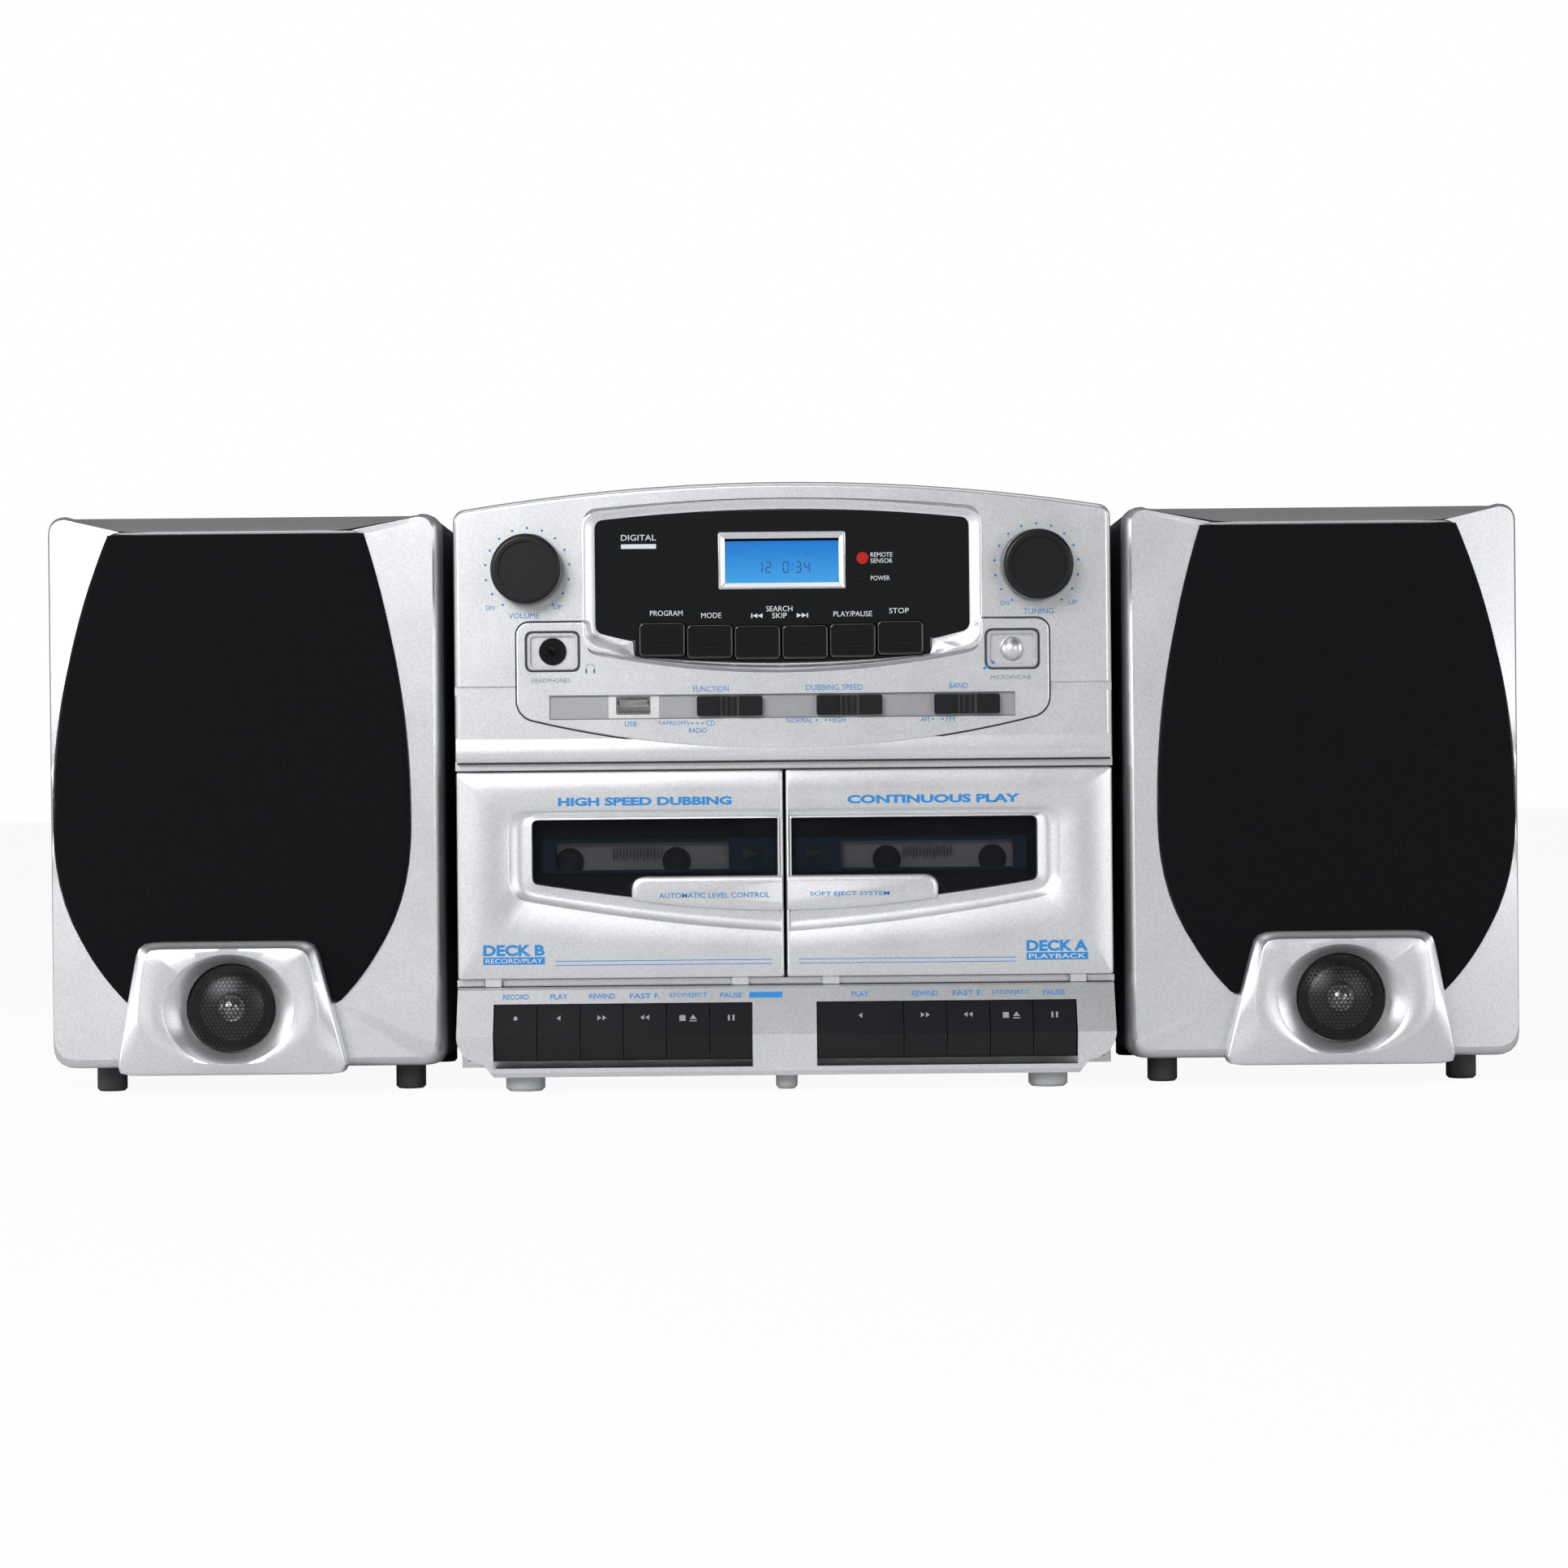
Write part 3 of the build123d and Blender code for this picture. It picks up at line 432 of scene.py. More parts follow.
# headphone sign: a headband of dots and two ear pads
BAND_X = -76.4
BAND_Z = 167.6
BAND_R = 1.7
for i in range(9):
    angle = math.radians(-35 + i * 250 / 8)
    x, z = BAND_X + BAND_R * math.cos(angle), BAND_Z + BAND_R * math.sin(angle)
    tube(grey_print, x, z, 0.28, *INSERT_MARK, 8)
for x in (BAND_X - 1.6, BAND_X + 1.6):
    bar(grey_print, x - 0.4, x + 0.4, 165.6, 167.2, *INSERT_MARK)
piece("jack_print", grey_print, GREY_INK, "main_unit")

window_print = bmesh.new()
for words, x0, x1, z, tall in (
        ("PROGRAM", -52.5, -39.6, 189.2, 2.1), ("MODE", -32.2, -24.3, 188.2, 2.1),
        ("SEARCH", -6.4, 4.0, 190.6, 2.1), ("SKIP", -4.1, 1.8, 187.9, 2.1),
        ("PLAY/PAUSE", 20.3, 35.6, 188.3, 2.1), ("STOP", 42.4, 50.2, 189.4, 2.1),
        ("DIGITAL", -63.8, -49.9, 219.3, 2.3), ("REMOTE", 35.2, 43.9, 211.7, 1.8),
        ("SENSOR", 35.2, 43.9, 209.3, 1.8), ("POWER", 35.2, 42.8, 202.4, 1.8)):
    write(window_print, words, x0, x1, z - tall / 2, z + tall / 2, ON_WINDOW)
bar(window_print, -63.8, -49.9, 214.9, 216.7, *WINDOW_MARK)
# skip signs: two triangles against a bar, one pair each way
for way, tip in ((-1, -12.4), (1, 10.2)):
    bar(window_print, *sorted((tip, tip - way * 0.5)), 187.0, 188.8, *WINDOW_MARK)
    for i in (0, 1):
        x = tip - way * (0.6 + i * 2.0)
        back = x - way * 1.9
        plate(window_print, [(x, 187.9), (back, 188.8), (back, 187.0)], *WINDOW_MARK)
piece("window_print", window_print, WHITE_INK, "main_unit")

key_print = bmesh.new()
SHORT_WORDS = {"fast_forward": "FAST F.", "stop_eject": "STOP/EJECT"}
RAIL_LEAN = 0.51    # the strip above the keys leans back by this much for each unit of height
for key in KEYS_B + KEYS_A:
    low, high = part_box(key + "_key")
    centre = (low.x + high.x) * 500
    word = SHORT_WORDS.get(key[2:], key[2:].upper())
    half = min(len(word) * 0.85, 7.4)
    write(key_print, word, centre - half, centre + half, 36.7, 38.7, -3.28, RAIL_LEAN, 0.01)
for v in bar(key_print, -14.6, -1.4, 36.6, 38.8, -0.1, 0.1):
    v.co.y += (-3.2 + (v.co.z * 1000 - 37.7) * RAIL_LEAN) * MM
piece("key_print", key_print, BLUE_INK, "main_unit")

DOOR_WORDS = {
    "b": (("HIGH SPEED DUBBING", -89.6, -20.8, 113.0, 116.4, ON_DOOR),
          ("AUTOMATIC LEVEL CONTROL", -50.0, -6.0, 76.2, 78.3, ON_POD),
          ("DECK B", -119.8, -95.4, 53.8, 58.3, ON_DOOR)),
    "a": (("CONTINUOUS PLAY", 25.0, 93.3, 113.0, 116.4, ON_DOOR),
          ("SOFT EJECT SYSTEM", 9.9, 41.4, 76.2, 78.3, ON_POD),
          ("DECK A", 95.4, 119.8, 53.8, 58.3, ON_DOOR)),
}
for deck, sign, tag_words in (("b", 1, "RECORD/PLAY"), ("a", -1, "PLAYBACK")):
    marks = bmesh.new()
    for text, x0, x1, z0, z1, y in DOOR_WORDS[deck]:
        write(marks, text, x0, x1, z0, z1, y, 0.0, 0.045 if z1 - z0 > 3 else 0.01)
    for z in (51.6, 50.0):
        left, right = sorted((sign * -91.3, sign * -5.2))
        bar(marks, left, right, z - 0.15, z + 0.15, *DOOR_MARK)
    left, right = sorted((sign * -119.8, sign * -95.4))
    bar(marks, left, right, 50.4, 53.4, *DOOR_MARK)
    piece(f"deck_{deck}_print", marks, BLUE_INK, f"deck_{deck}_door")
    tag = bmesh.new()
    write(tag, tag_words, left + 1, right - 1, 51.0, 52.8, -2.1)
    piece(f"deck_{deck}_tag", tag, WHITE_INK, f"deck_{deck}_door")

# ==== signs on the tape keys ========================================================================
# Each piano key carries a small pale sign, pad-printed on the sloping upper face and clear of
# the ribbed lower edge that a finger pushes.
SLOPE = (22.3 - 34.6) / (-10.1 + 3.9)
SIGN_Z = 29.4
SIGN_MARK = (-0.05, 0.1)


def lay_on_key(verts):
    """Leans a flat sign back on to the slope of the key."""
    for v in verts:
        v.co.y += (-3.92 + (v.co.z * 1000 - 34.6) / SLOPE) * MM


def arrow(bm, x, way):
    """Solid triangle; way is +1 for right and -1 for left."""
    corners = [(x - way * 0.7, SIGN_Z - 1), (x - way * 0.7, SIGN_Z + 1), (x + way * 0.8, SIGN_Z)]
    lay_on_key(plate(bm, corners, *SIGN_MARK))


for key in KEYS_B + KEYS_A:
    low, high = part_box(key + "_key")
    x = (low.x + high.x) * 500
    sign = bmesh.new()
    kind = key[2:]
    if kind == "record":
        lay_on_key(tube(sign, x, SIGN_Z, 0.8, *SIGN_MARK, 20))
    elif kind == "play":
        arrow(sign, x, -1)
    elif kind in ("rewind", "fast_forward"):
        way = 1 if kind == "rewind" else -1
        arrow(sign, x - 1.0, way)
        arrow(sign, x + 1.0, way)
    elif kind == "stop_eject":
        lay_on_key(bar(sign, x - 3.4, x - 1.0, 27.9, 30.1, *SIGN_MARK))
        lay_on_key(plate(sign, [(x + 0.6, 28.6), (x + 3.4, 28.6), (x + 2.0, 30.3)], *SIGN_MARK))
        lay_on_key(bar(sign, x + 0.6, x + 3.4, 27.7, 28.1, *SIGN_MARK))
    else:
        for left in (x - 1.3, x + 0.5):
            lay_on_key(bar(sign, left, left + 0.8, 27.9, 30.1, *SIGN_MARK))
    piece(key + "_sign", sign, PALE_INK, key + "_key")

# ==== display =======================================================================================
# A reflective liquid-crystal panel lit blue from behind, in a bevelled silver frame; its
# segments are navy.


def lit_panel(name, low_colour, high_colour):
    """Backlit panel whose colour runs from its lower edge to its upper one."""
    material, tree, at = new_material(name)
    height = node(tree, "SeparateXYZ", {}, {"Vector": at}, out=2)
    place = node(tree, "MapRange", {}, {"Value": height, 1: 0.2007, 2: 0.2176})
    colour = mix_colour(tree, place + noise(tree, at, 60.0) * 0.1, low_colour, high_colour)
    finish_surface(tree, {
        "Base Color": mix_colour(tree, 0.9, colour, (0.01, 0.02, 0.04)),
        "Roughness": 0.15,
        "Emission Color": colour,
        "Emission Strength": 0.95,
    })
    return material


LCD = lit_panel("lit display", (0.050, 0.33, 0.72), (0.008, 0.17, 0.56))
screen = bmesh.new()
bar(screen, -22.65, 22.65, 200.75, 217.55, 1.6, 2.2)
piece("lcd_screen", screen, LCD, "main_unit")

SEGMENT_MARK = (1.5, 1.62)
FIGURES = {"0": "abcdef", "1": "bc", "2": "abged", "3": "abgcd", "4": "fgbc"}


def digit(bm, x, z, tall, shown):
    """Seven-segment figure with its lower left corner at x, z."""
    wide = tall * 0.5
    thick = tall * 0.09
    low, high = tall / 2 - thick / 2, tall / 2 + thick / 2
    spans = {
        "a": (thick, wide - thick, tall - thick, tall),
        "b": (wide - thick, wide, high, tall - thick),
        "c": (wide - thick, wide, thick, low),
        "d": (thick, wide - thick, 0, thick),
        "e": (0, thick, thick, low),
        "f": (0, thick, high, tall - thick),
        "g": (thick, wide - thick, low, high),
    }
    for part in FIGURES[shown]:
        x0, x1, z0, z1 = spans[part]
        bar(bm, x + x0, x + x1, z + z0, z + z1, *SEGMENT_MARK)


segments = bmesh.new()
for x, shown in ((-10.0, "1"), (-6.5, "2"), (0.4, "0"), (5.3, "3"), (8.8, "4")):
    digit(segments, x, 204.8, 4.6, shown)
for z in (206.0, 207.8):
    bar(segments, 3.9, 4.4, z, z + 0.5, *SEGMENT_MARK)
for i in range(3):
    digit(segments, 8.6 + i * 1.5, 211.4, 2.0, "1")
piece("lcd_segments", segments, ink("navy segments", (0.006, 0.045, 0.16)), "main_unit")

# ==== speaker fronts ================================================================================
# Each speaker has a waisted silver surround moulded round a black cloth grille, and a silver
# horn plate that stands proud below it and holds the tweeter.


def ring_points(corners, radii, bows, side=12, turn=5):
    """Closed outline with rounded corners; each side bows by (dx, dz, sharpness) or by a rule of t."""
    count = len(corners)
    spots = [Vector(c) for c in corners]
    arcs = []
    for i in range(count):
        here, before, after = spots[i], spots[i - 1], spots[(i + 1) % count]
        back, on = (before - here).normalized(), (after - here).normalized()
        reach = radii[i] / max(math.tan(back.angle(on) / 2), 0.05)
        start, end = here + back * reach, here + on * reach
        arcs.append([start.lerp(here, t).lerp(here.lerp(end, t), t) for t in
                     (k / turn for k in range(turn + 1))])
    points = []
    for i in range(count):
        points += arcs[i]
        start, end = arcs[i][-1], arcs[(i + 1) % count][0]
        for k in range(1, side):
            t = k / side
            if callable(bows[i]):
                points.append(start.lerp(end, t) + bows[i](t))
            else:
                dx, dz, sharp = bows[i]
                points.append(start.lerp(end, t) + Vector((dx, dz)) * (1 - abs(2 * t - 1) ** sharp))
    return points


def ring(bm, points, depth):
    """Loop of edges through X-Z points; depth is a number or a rule of x and z."""
    rule = depth if callable(depth) else (lambda x, z: depth)
    return [bm.verts.new(Vector((p[0], rule(p[0], p[1]) + FASCIA_Y, p[1])) * MM) for p in points]


def skin(bm, rings, closed=True):
    """Walls from each ring to the next, point by point, and back to the first or capped."""
    for one, two in zip(rings, rings[1:] + (rings[:1] if closed else [])):
        for i in range(len(one)):
            bm.faces.new((one[i - 1], one[i], two[i], two[i - 1]))
    if not closed:
        bm.faces.new(rings[0])
        bm.faces.new(rings[-1])


def four(left, right, top, bottom):
    """Corners of an upright shape, clockwise from the top left; left and right are (top, bottom) pairs."""
    return [(left[0], top), (right[0], top), (right[1], bottom), (left[1], bottom)]


MID = -217.0


def barrel(z, grow, side):
    """Half width of the grille opening at height z, to the left (-1) or right (1) of its middle."""
    half, fall = (71.6, 0.00187) if side < 0 else (68.5, 0.00146)
    drop = fall * (z - 114) ** 2 if z > 114 else 0.000223 * (114 - z) ** 2.7
    return half - drop + grow


def surround_ring(bm, depth, left, right, top, bottom, dip, radii, opening=None):
    """One loop of the surround; opening, where given, is how far it stands outside the grille."""
    bows = [(0, -dip, 7), (0, 0, 2), (0, 0, 2), (0, 0, 2)]
    if opening is not None:
        left, right = [[barrel(z, opening, side) * side for z in (top, bottom)] for side in (-1, 1)]

        def bulge(side, low_first):
            def offset(t):
                z = bottom + (top - bottom) * (t if low_first else 1 - t)
                share = (z - bottom) / (top - bottom)
                ends = left if side < 0 else right
                straight = ends[1] + (ends[0] - ends[1]) * share
                return Vector((barrel(z, opening, side) * side - straight, 0))
            return offset

        bows = [(0, 0, 2), bulge(1, False), (0, 0, 2), bulge(-1, True)]
    corners = four((MID + left[0], MID + left[1]), (MID + right[0], MID + right[1]), top, bottom)
    return ring(bm, ring_points(corners, radii, bows, 24, 5), depth)


def speaker_surround():
    """Shell from the box joint, round the outer edge and face, and in through the opening."""
    bm = bmesh.new()
    skin(bm, [
        surround_ring(bm, 16.8, (-74.5, -74.5), (81, 81), 230, 10, 0, (7, 7, 7, 7)),
        surround_ring(bm, 9, (-74.5, -74.4), (81, 80.9), 230, 10.2, 3.2, (7, 7, 8, 8)),
        surround_ring(bm, 2.5, (-74.4, -74.2), (80.9, 80.6), 229.8, 11, 5.0, (7, 7, 9, 9)),
        surround_ring(bm, -1.0, (-73.8, -73.4), (80.2, 79.8), 229.2, 12.4, 6.2, (7, 7, 9, 9)),
        surround_ring(bm, -2.6, (-72.9, -72.9), (78.6, 78.4), 228.2, 14.4, 6.4, (6, 6, 9, 9)),
        surround_ring(bm, -2.95, (0, 0), (0, 0), 223.1, 35.8, 0, (5, 5, 3, 3), 1.0),
        surround_ring(bm, -2.3, (0, 0), (0, 0), 222.2, 36.6, 0, (5, 5, 3, 3), 0.25),
        surround_ring(bm, 2.9, (0, 0), (0, 0), 222.2, 36.6, 0, (5, 5, 3, 3), 0.25),
        surround_ring(bm, 16.8, (-38, -36), (40, 31), 214, 44, 0, (5, 5, 3, 3)),
    ])
    return bm


TWEETER_X = -219.0
TWEETER_Z = 34.6
PLATE_SIDES = (((0, 1), 26.4), ((0, -1), 26.2), ((0.969, 0.248), 38.8), ((-0.984, 0.177), 40.2))
CORNER_POWER = 16    # the higher, the tighter the corners of the horn plate


def plate_reach(angle, shrink):
    """Distance from the tweeter centre to the rounded edge of the horn plate."""
    way = Vector((math.cos(angle), math.sin(angle)))
    total = 0
    for normal, reach in PLATE_SIDES:
        towards = way.dot(Vector(normal))
        if towards > 0:
            total += (towards / (reach - shrink)) ** CORNER_POWER
    return total ** (-1 / CORNER_POWER)


def oval_reach(angle, rx, rz):
    """Distance from the middle of an upright or lying oval to its edge."""
    return 1 / math.hypot(math.cos(angle) / rx, math.sin(angle) / rz)


def crest_reach(angle):
    """The bright crest: the plate's edge above, a broad arc below."""
    arc = oval_reach(angle, 37.0, 22.8 if math.sin(angle) < 0 else 90.0)
    return (plate_reach(angle, 2.6) ** -14 + arc ** -14) ** (-1 / 14)


def polar_ring(bm, reach, depth):
    """Loop round the tweeter, as far out as reach says for each direction."""
    turns = [2 * math.pi * i / 96 for i in range(96)]
    points = [(TWEETER_X + reach(a) * math.cos(a), TWEETER_Z + reach(a) * math.sin(a)) for a in turns]
    return ring(bm, points, depth)


def horn_plate():
    """Plate with rolled edges, a crest round its face, and an oval throat down to the tweeter."""
    bm = bmesh.new()
    skin(bm, [
        polar_ring(bm, lambda a: plate_reach(a, 0), 2.8),
        polar_ring(bm, lambda a: plate_reach(a, 0), -9.4),
        polar_ring(bm, lambda a: plate_reach(a, 0.4), -10.6),
        polar_ring(bm, lambda a: plate_reach(a, 1.3), -11.3),
        polar_ring(bm, crest_reach, -14.75),
        polar_ring(bm, lambda a: crest_reach(a) * 0.985, -14.95),
        polar_ring(bm, lambda a: oval_reach(a, 26.0, 21.9), -14.75),
        polar_ring(bm, lambda a: oval_reach(a, 25.4, 21.4), -14.35),
        polar_ring(bm, lambda a: oval_reach(a, 21.4, 19.5), -10.6),
        polar_ring(bm, lambda a: oval_reach(a, 18.2, 17.9), -7.8),
        polar_ring(bm, lambda a: 17.6, -7.2),
        polar_ring(bm, lambda a: 17.6, 2.8),
    ])
    return bm


def mirrored(bm):
    """The same moulding for the other side; piece() then turns its normals out again."""
    bmesh.ops.scale(bm, vec=Vector((-1, 1, 1)), verts=bm.verts)
    return bm


for name in ("left", "right"):
    for part, made, node_name in (("speaker_surround", speaker_surround(), "speaker_fascia"),
                                  ("horn_plate", horn_plate(), "tweeter_housing")):
        bm = mirrored(made) if name == "right" else made
        shell = piece(f"{name}_{part}", bm, SILVER, f"{name}_speaker", True)
        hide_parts(f"{name}_{node_name}")


def cloth(name):
    """Woven black cloth with a little lint."""
    material, tree, at = new_material(name)
    warp = node(tree, "TexWave", {"bands_direction": "X"}, {"Vector": at, "Scale": 420.0})
    weft = node(tree, "TexWave", {"bands_direction": "Z"}, {"Vector": at, "Scale": 420.0})
    weave = warp * weft
    lint = noise(tree, at, 1600.0, 2.0)
    shade = weave * 0.7 + (lint > 0.66) * 0.5
    finish_surface(tree, {
        "Base Color": mix_colour(tree, shade, (0.0015, 0.0018, 0.0024), (0.011, 0.013, 0.016)),
        "Roughness": 0.85,
        "Specular IOR Level": 0.12,
        "Normal": bump(tree, weave, 0.0002, 0.8),
    })
    return material


paint(["left_grille", "right_grille"], cloth("grille cloth"))
paint(["left_woofer", "right_woofer"], rubber("paper cone", (0.03, 0.03, 0.03)))

# ==== cassette doors ================================================================================
# Each door is one silver moulding with a scooped field round its window; a thumb pod is moulded
# over the window's lower edge, and a black holder for the cassette is screwed on behind.


def door_ring(bm, depth, left, right, top, low_left, low_right, radii, bow=0.0):
    """Loop round the door or its window; bow is how far the lower edge sags."""
    corners = [(left, top), (right, top), (right, low_right), (left, low_left)]
    bows = [(0, 0, 2), (0, 0, 2), (0, -bow, 2), (0, 0, 2)]
    return ring(bm, ring_points(corners, radii, bows, 14, 5), depth)


def door_shell():
    """Door front from its rim, over the flat face, down into the scoop and through the window."""
    bm = bmesh.new()
    skin(bm, [
        door_ring(bm, 1.6, -130, -0.5, 126.7, 44.8, 44.8, (1, 1, 1, 1)),
        door_ring(bm, -0.6, -130, -0.5, 126.7, 44.5, 44.5, (1, 1, 1, 1)),
        door_ring(bm, -1.6, -129.6, -0.9, 126.3, 44.9, 44.9, (1, 1, 1, 1)),
        door_ring(bm, -2.0, -128.6, -1.5, 125.4, 45.8, 45.8, (1, 1, 1, 1)),
        door_ring(bm, -2.0, -109.6, -1.52, 111.7, 76.0, 62.3, (7, 0.1, 0.1, 9), 1.6),
        door_ring(bm, -1.7, -109.0, -1.54, 111.1, 76.5, 62.9, (7, 0.1, 0.1, 9), 1.6),
        door_ring(bm, -0.3, -106.6, -1.56, 109.9, 78.2, 65.4, (6, 0.1, 0.1, 8), 1.5),
        door_ring(bm, -0.1, -103.4, -1.58, 108.9, 80.2, 68.2, (4, 0.1, 0.1, 5), 1.4),
        door_ring(bm, -0.9, -101.0, -2.2, 108.2, 81.6, 70.4, (3, 0.5, 0.1, 3.5), 1.2),
        door_ring(bm, -1.0, -100.3, -2.6, 107.7, 82.1, 71.2, (2.6, 0.5, 0.1, 3), 1.2),
        door_ring(bm, -0.4, -100.0, -2.8, 107.5, 82.3, 71.6, (2.5, 0.5, 0.1, 3), 1.2),
        door_ring(bm, 1.6, -100.0, -2.8, 107.5, 82.3, 71.6, (2.5, 0.5, 0.1, 3), 1.2),
    ])
    return bm


def thumb_pod():
    """Rounded pad that the thumb pulls the door open by."""
    bm = bmesh.new()

    def pod_ring(depth, inset):
        right = -0.8 - inset * 0.2
        corners = [(-61.4 + inset, 84.9 - inset), (right, 84.9 - inset),
                   (right, 70.8 + inset), (-60.6 + inset, 75.2 + inset)]
        bows = [(0, 0, 2), (0, 0, 2), (0, -1.0, 2), (0, 0, 2)]
        radii = (6.2 - inset, 0.3, 0.3, 2.3 - inset * 0.8)
        return ring(bm, ring_points(corners, radii, bows, 14, 6), depth)

    skin(bm, [pod_ring(1.5, 0), pod_ring(-1.4, 0), pod_ring(-2.2, 0.35),
              pod_ring(-2.65, 1.1), pod_ring(-2.75, 2.2)], closed=False)
    return bm


def cassette_holder():
    """Open tray behind the door: two cheeks, a floor and two rear lips."""
    bm = bmesh.new()
    for x0, x1, z0, z1, y0, y1 in (
            (-118.0, -116.2, 54.5, 70, 1.8, 16.5), (-11.8, -10.0, 54.5, 70, 3.4, 16.5),
            (-118.0, -10.0, 52.8, 54.6, 1.8, 16.5),
            (-118.0, -108.0, 54.5, 70, 14.9, 16.5), (-20.0, -10.0, 54.5, 70, 14.9, 16.5)):
        bar(bm, x0, x1, z0, z1, y0, y1)
    return bm


for deck in "ba":
    door = f"deck_{deck}_door"
    shell_bm, pod_bm, holder_bm = (mirrored(bm) if deck == "a" else bm
                                   for bm in (door_shell(), thumb_pod(), cassette_holder()))
    shell = piece(f"deck_{deck}_shell", shell_bm, SILVER, door, True)
    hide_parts(door)
    piece(f"deck_{deck}_thumb_pod", pod_bm, SILVER, door, True)
    piece(f"deck_{deck}_holder", holder_bm, BLACK, door)

# ==== frames round the display and the window =======================================================
# A silver roll leads from the fascia down to the black panel, and the display has a bevelled
# silver bezel of its own.


def reach_to(points, angle, middle):
    """Distance from the middle to a closed outline along a direction."""
    way = Vector((math.cos(angle), math.sin(angle)))
    best = 0.0
    for a, b in zip(points, points[1:] + points[:1]):
        a, b = Vector(a) - middle, Vector(b) - middle
        one, two = way.cross(a), way.cross(b)
        if one * two <= 0 and one != two:
            best = max(best, way.dot(a.lerp(b, one / (one - two))))
    return best


FRAME_Z = 200
STRAIGHT = (0, 0, 2)
BLACK_EDGE = ring_points(
    [(-74.0, 226.4), (74.0, 226.4), (74.0, 181.8), (58.9, 178.3),
     (58.9, 171.9), (-58.9, 171.9), (-58.9, 178.3), (-74.0, 181.8)],
    (4, 4, 4, 0.4, 2, 2, 0.4, 4),
    [(0, 3.6, 2), STRAIGHT, STRAIGHT, STRAIGHT, (0, -2.9, 2), STRAIGHT, STRAIGHT, STRAIGHT], 12, 6)
FIELD_EDGE = ring_points([(-79.4, 229.6), (79.4, 229.6), (79.4, 173.8), (-79.4, 173.8)],
                         (7, 7, 8, 8), [(0, 4.6, 2), STRAIGHT, (0, -7.4, 2), STRAIGHT], 40, 8)
FRAME_TURNS = sorted(math.atan2(z - FRAME_Z, x) for x, z in BLACK_EDGE + FIELD_EDGE)


def panel_ring(bm, share, depth, extra=0.0):
    """Loop between the black panel's edge (share 0) and the edge of the silver field (share 1)."""
    points = []
    for angle in FRAME_TURNS:
        inner, outer = (reach_to(edge, angle, Vector((0, FRAME_Z))) for edge in (BLACK_EDGE, FIELD_EDGE))
        reach = inner + (outer - inner) * share + extra
        points.append((reach * math.cos(angle), FRAME_Z + reach * math.sin(angle)))
    return ring(bm, points, depth)


def before_fascia(gap):
    """Depth that stays this far before the fascia, or before the control insert lower down."""
    return lambda x, z: (-0.95 if z < 186 else -0.15) - gap


frame_bm = bmesh.new()
skin(frame_bm, [
    panel_ring(frame_bm, 1.0, 2.9),
    panel_ring(frame_bm, 1.0, before_fascia(0)),
    panel_ring(frame_bm, 0.90, before_fascia(0.22)),
    panel_ring(frame_bm, 0.72, before_fascia(0.05)),
    panel_ring(frame_bm, 0.45, 0.35),
    panel_ring(frame_bm, 0.2, 0.75),
    panel_ring(frame_bm, 0.04, 0.8, 0.1),
    panel_ring(frame_bm, 0.0, 1.3, 0.15),
    panel_ring(frame_bm, 0.0, 2.9, 0.15),
])
piece("display_frame", frame_bm, SILVER, "main_unit", True)

for button in BUTTONS:
    low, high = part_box(button)
    x, z, face = (low.x + high.x) * 500, low.z * 1000 + 4.6, low.y * 1000 - FASCIA_Y
    dash = bmesh.new()
    bar(dash, x - 4.4, x + 4.4, z - 0.35, z + 0.35, face - 0.3, face + 0.2)
    bmesh.ops.bevel(dash, geom=dash.edges[:], offset=0.12 * MM, segments=2, profile=0.5, material=-1,
                    affect="EDGES")
    piece(button + "_dash", dash, GLOSS_BLACK, button)

# A dark outer lip and a bright inner one round each front socket: inset, width, front and paint.
SOCKET_LIPS = ((0.0, 0.7, -0.86, CHARCOAL), (1.0, 1.1, -0.98, BRIGHT_SILVER))
for name, x, z in (("headphone", -91.3, 174.4), ("microphone", 91.0, 173.8)):
    for number, (edge, width, front, coat) in enumerate(SOCKET_LIPS, 1):
        rim = bmesh.new()
        loops = []
        for inset, y in ((edge, 0.5), (edge, front), (edge + width, front), (edge + width, 0.5)):
            left, right = x - 10.95 + inset, x + 10.95 - inset
            corners = four((left, left), (right, right), z + 8.2 - inset, z - 8.2 + inset)
            loops.append(ring(rim, ring_points(corners, [3.2 - inset * 0.6] * 4, [STRAIGHT] * 4, 2, 6), y))
        skin(rim, loops)
        piece(f"{name}_rim_{number}", rim, coat, "main_unit", True)

bezel_bm = bmesh.new()


def bezel_ring(depth, inset):
    half = 25.2 - inset
    corners = four((-half, -half), (half, half), 221.1 - inset, 198.4 + inset)
    return ring(bezel_bm, ring_points(corners, [max(0.9 - inset * 0.2, 0.3)] * 4, [STRAIGHT] * 4, 2, 3), depth)


skin(bezel_bm, [bezel_ring(depth, inset) for depth, inset in (
    (5.0, 0), (0.3, 0), (-0.1, 0.35), (-0.1, 0.9), (1.2, 2.5), (5.0, 2.5))])
bezel = piece("lcd_bezel", bezel_bm, BRIGHT_SILVER, "main_unit", True)
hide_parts("lcd_module")

# ==== cassette windows ==============================================================================
# Smoked acrylic windows in the doors; behind each a printed blue strip frames the view of the
# two tape hubs and the toothed tape gauge.


def smoked(name, colour, alpha):
    """See-through plastic; the higher the alpha, the darker the smoke."""
    material, tree, at = new_material(name)
    film = noise(tree, at, 30.0)
    finish_surface(tree, {
        "Base Color": mix_colour(tree, film, colour, shaded(colour, 1.5)),
        "Roughness": 0.05 + film * 0.04,
        "Alpha": alpha,
        "Specular IOR Level": 0.3,
    })
    return material


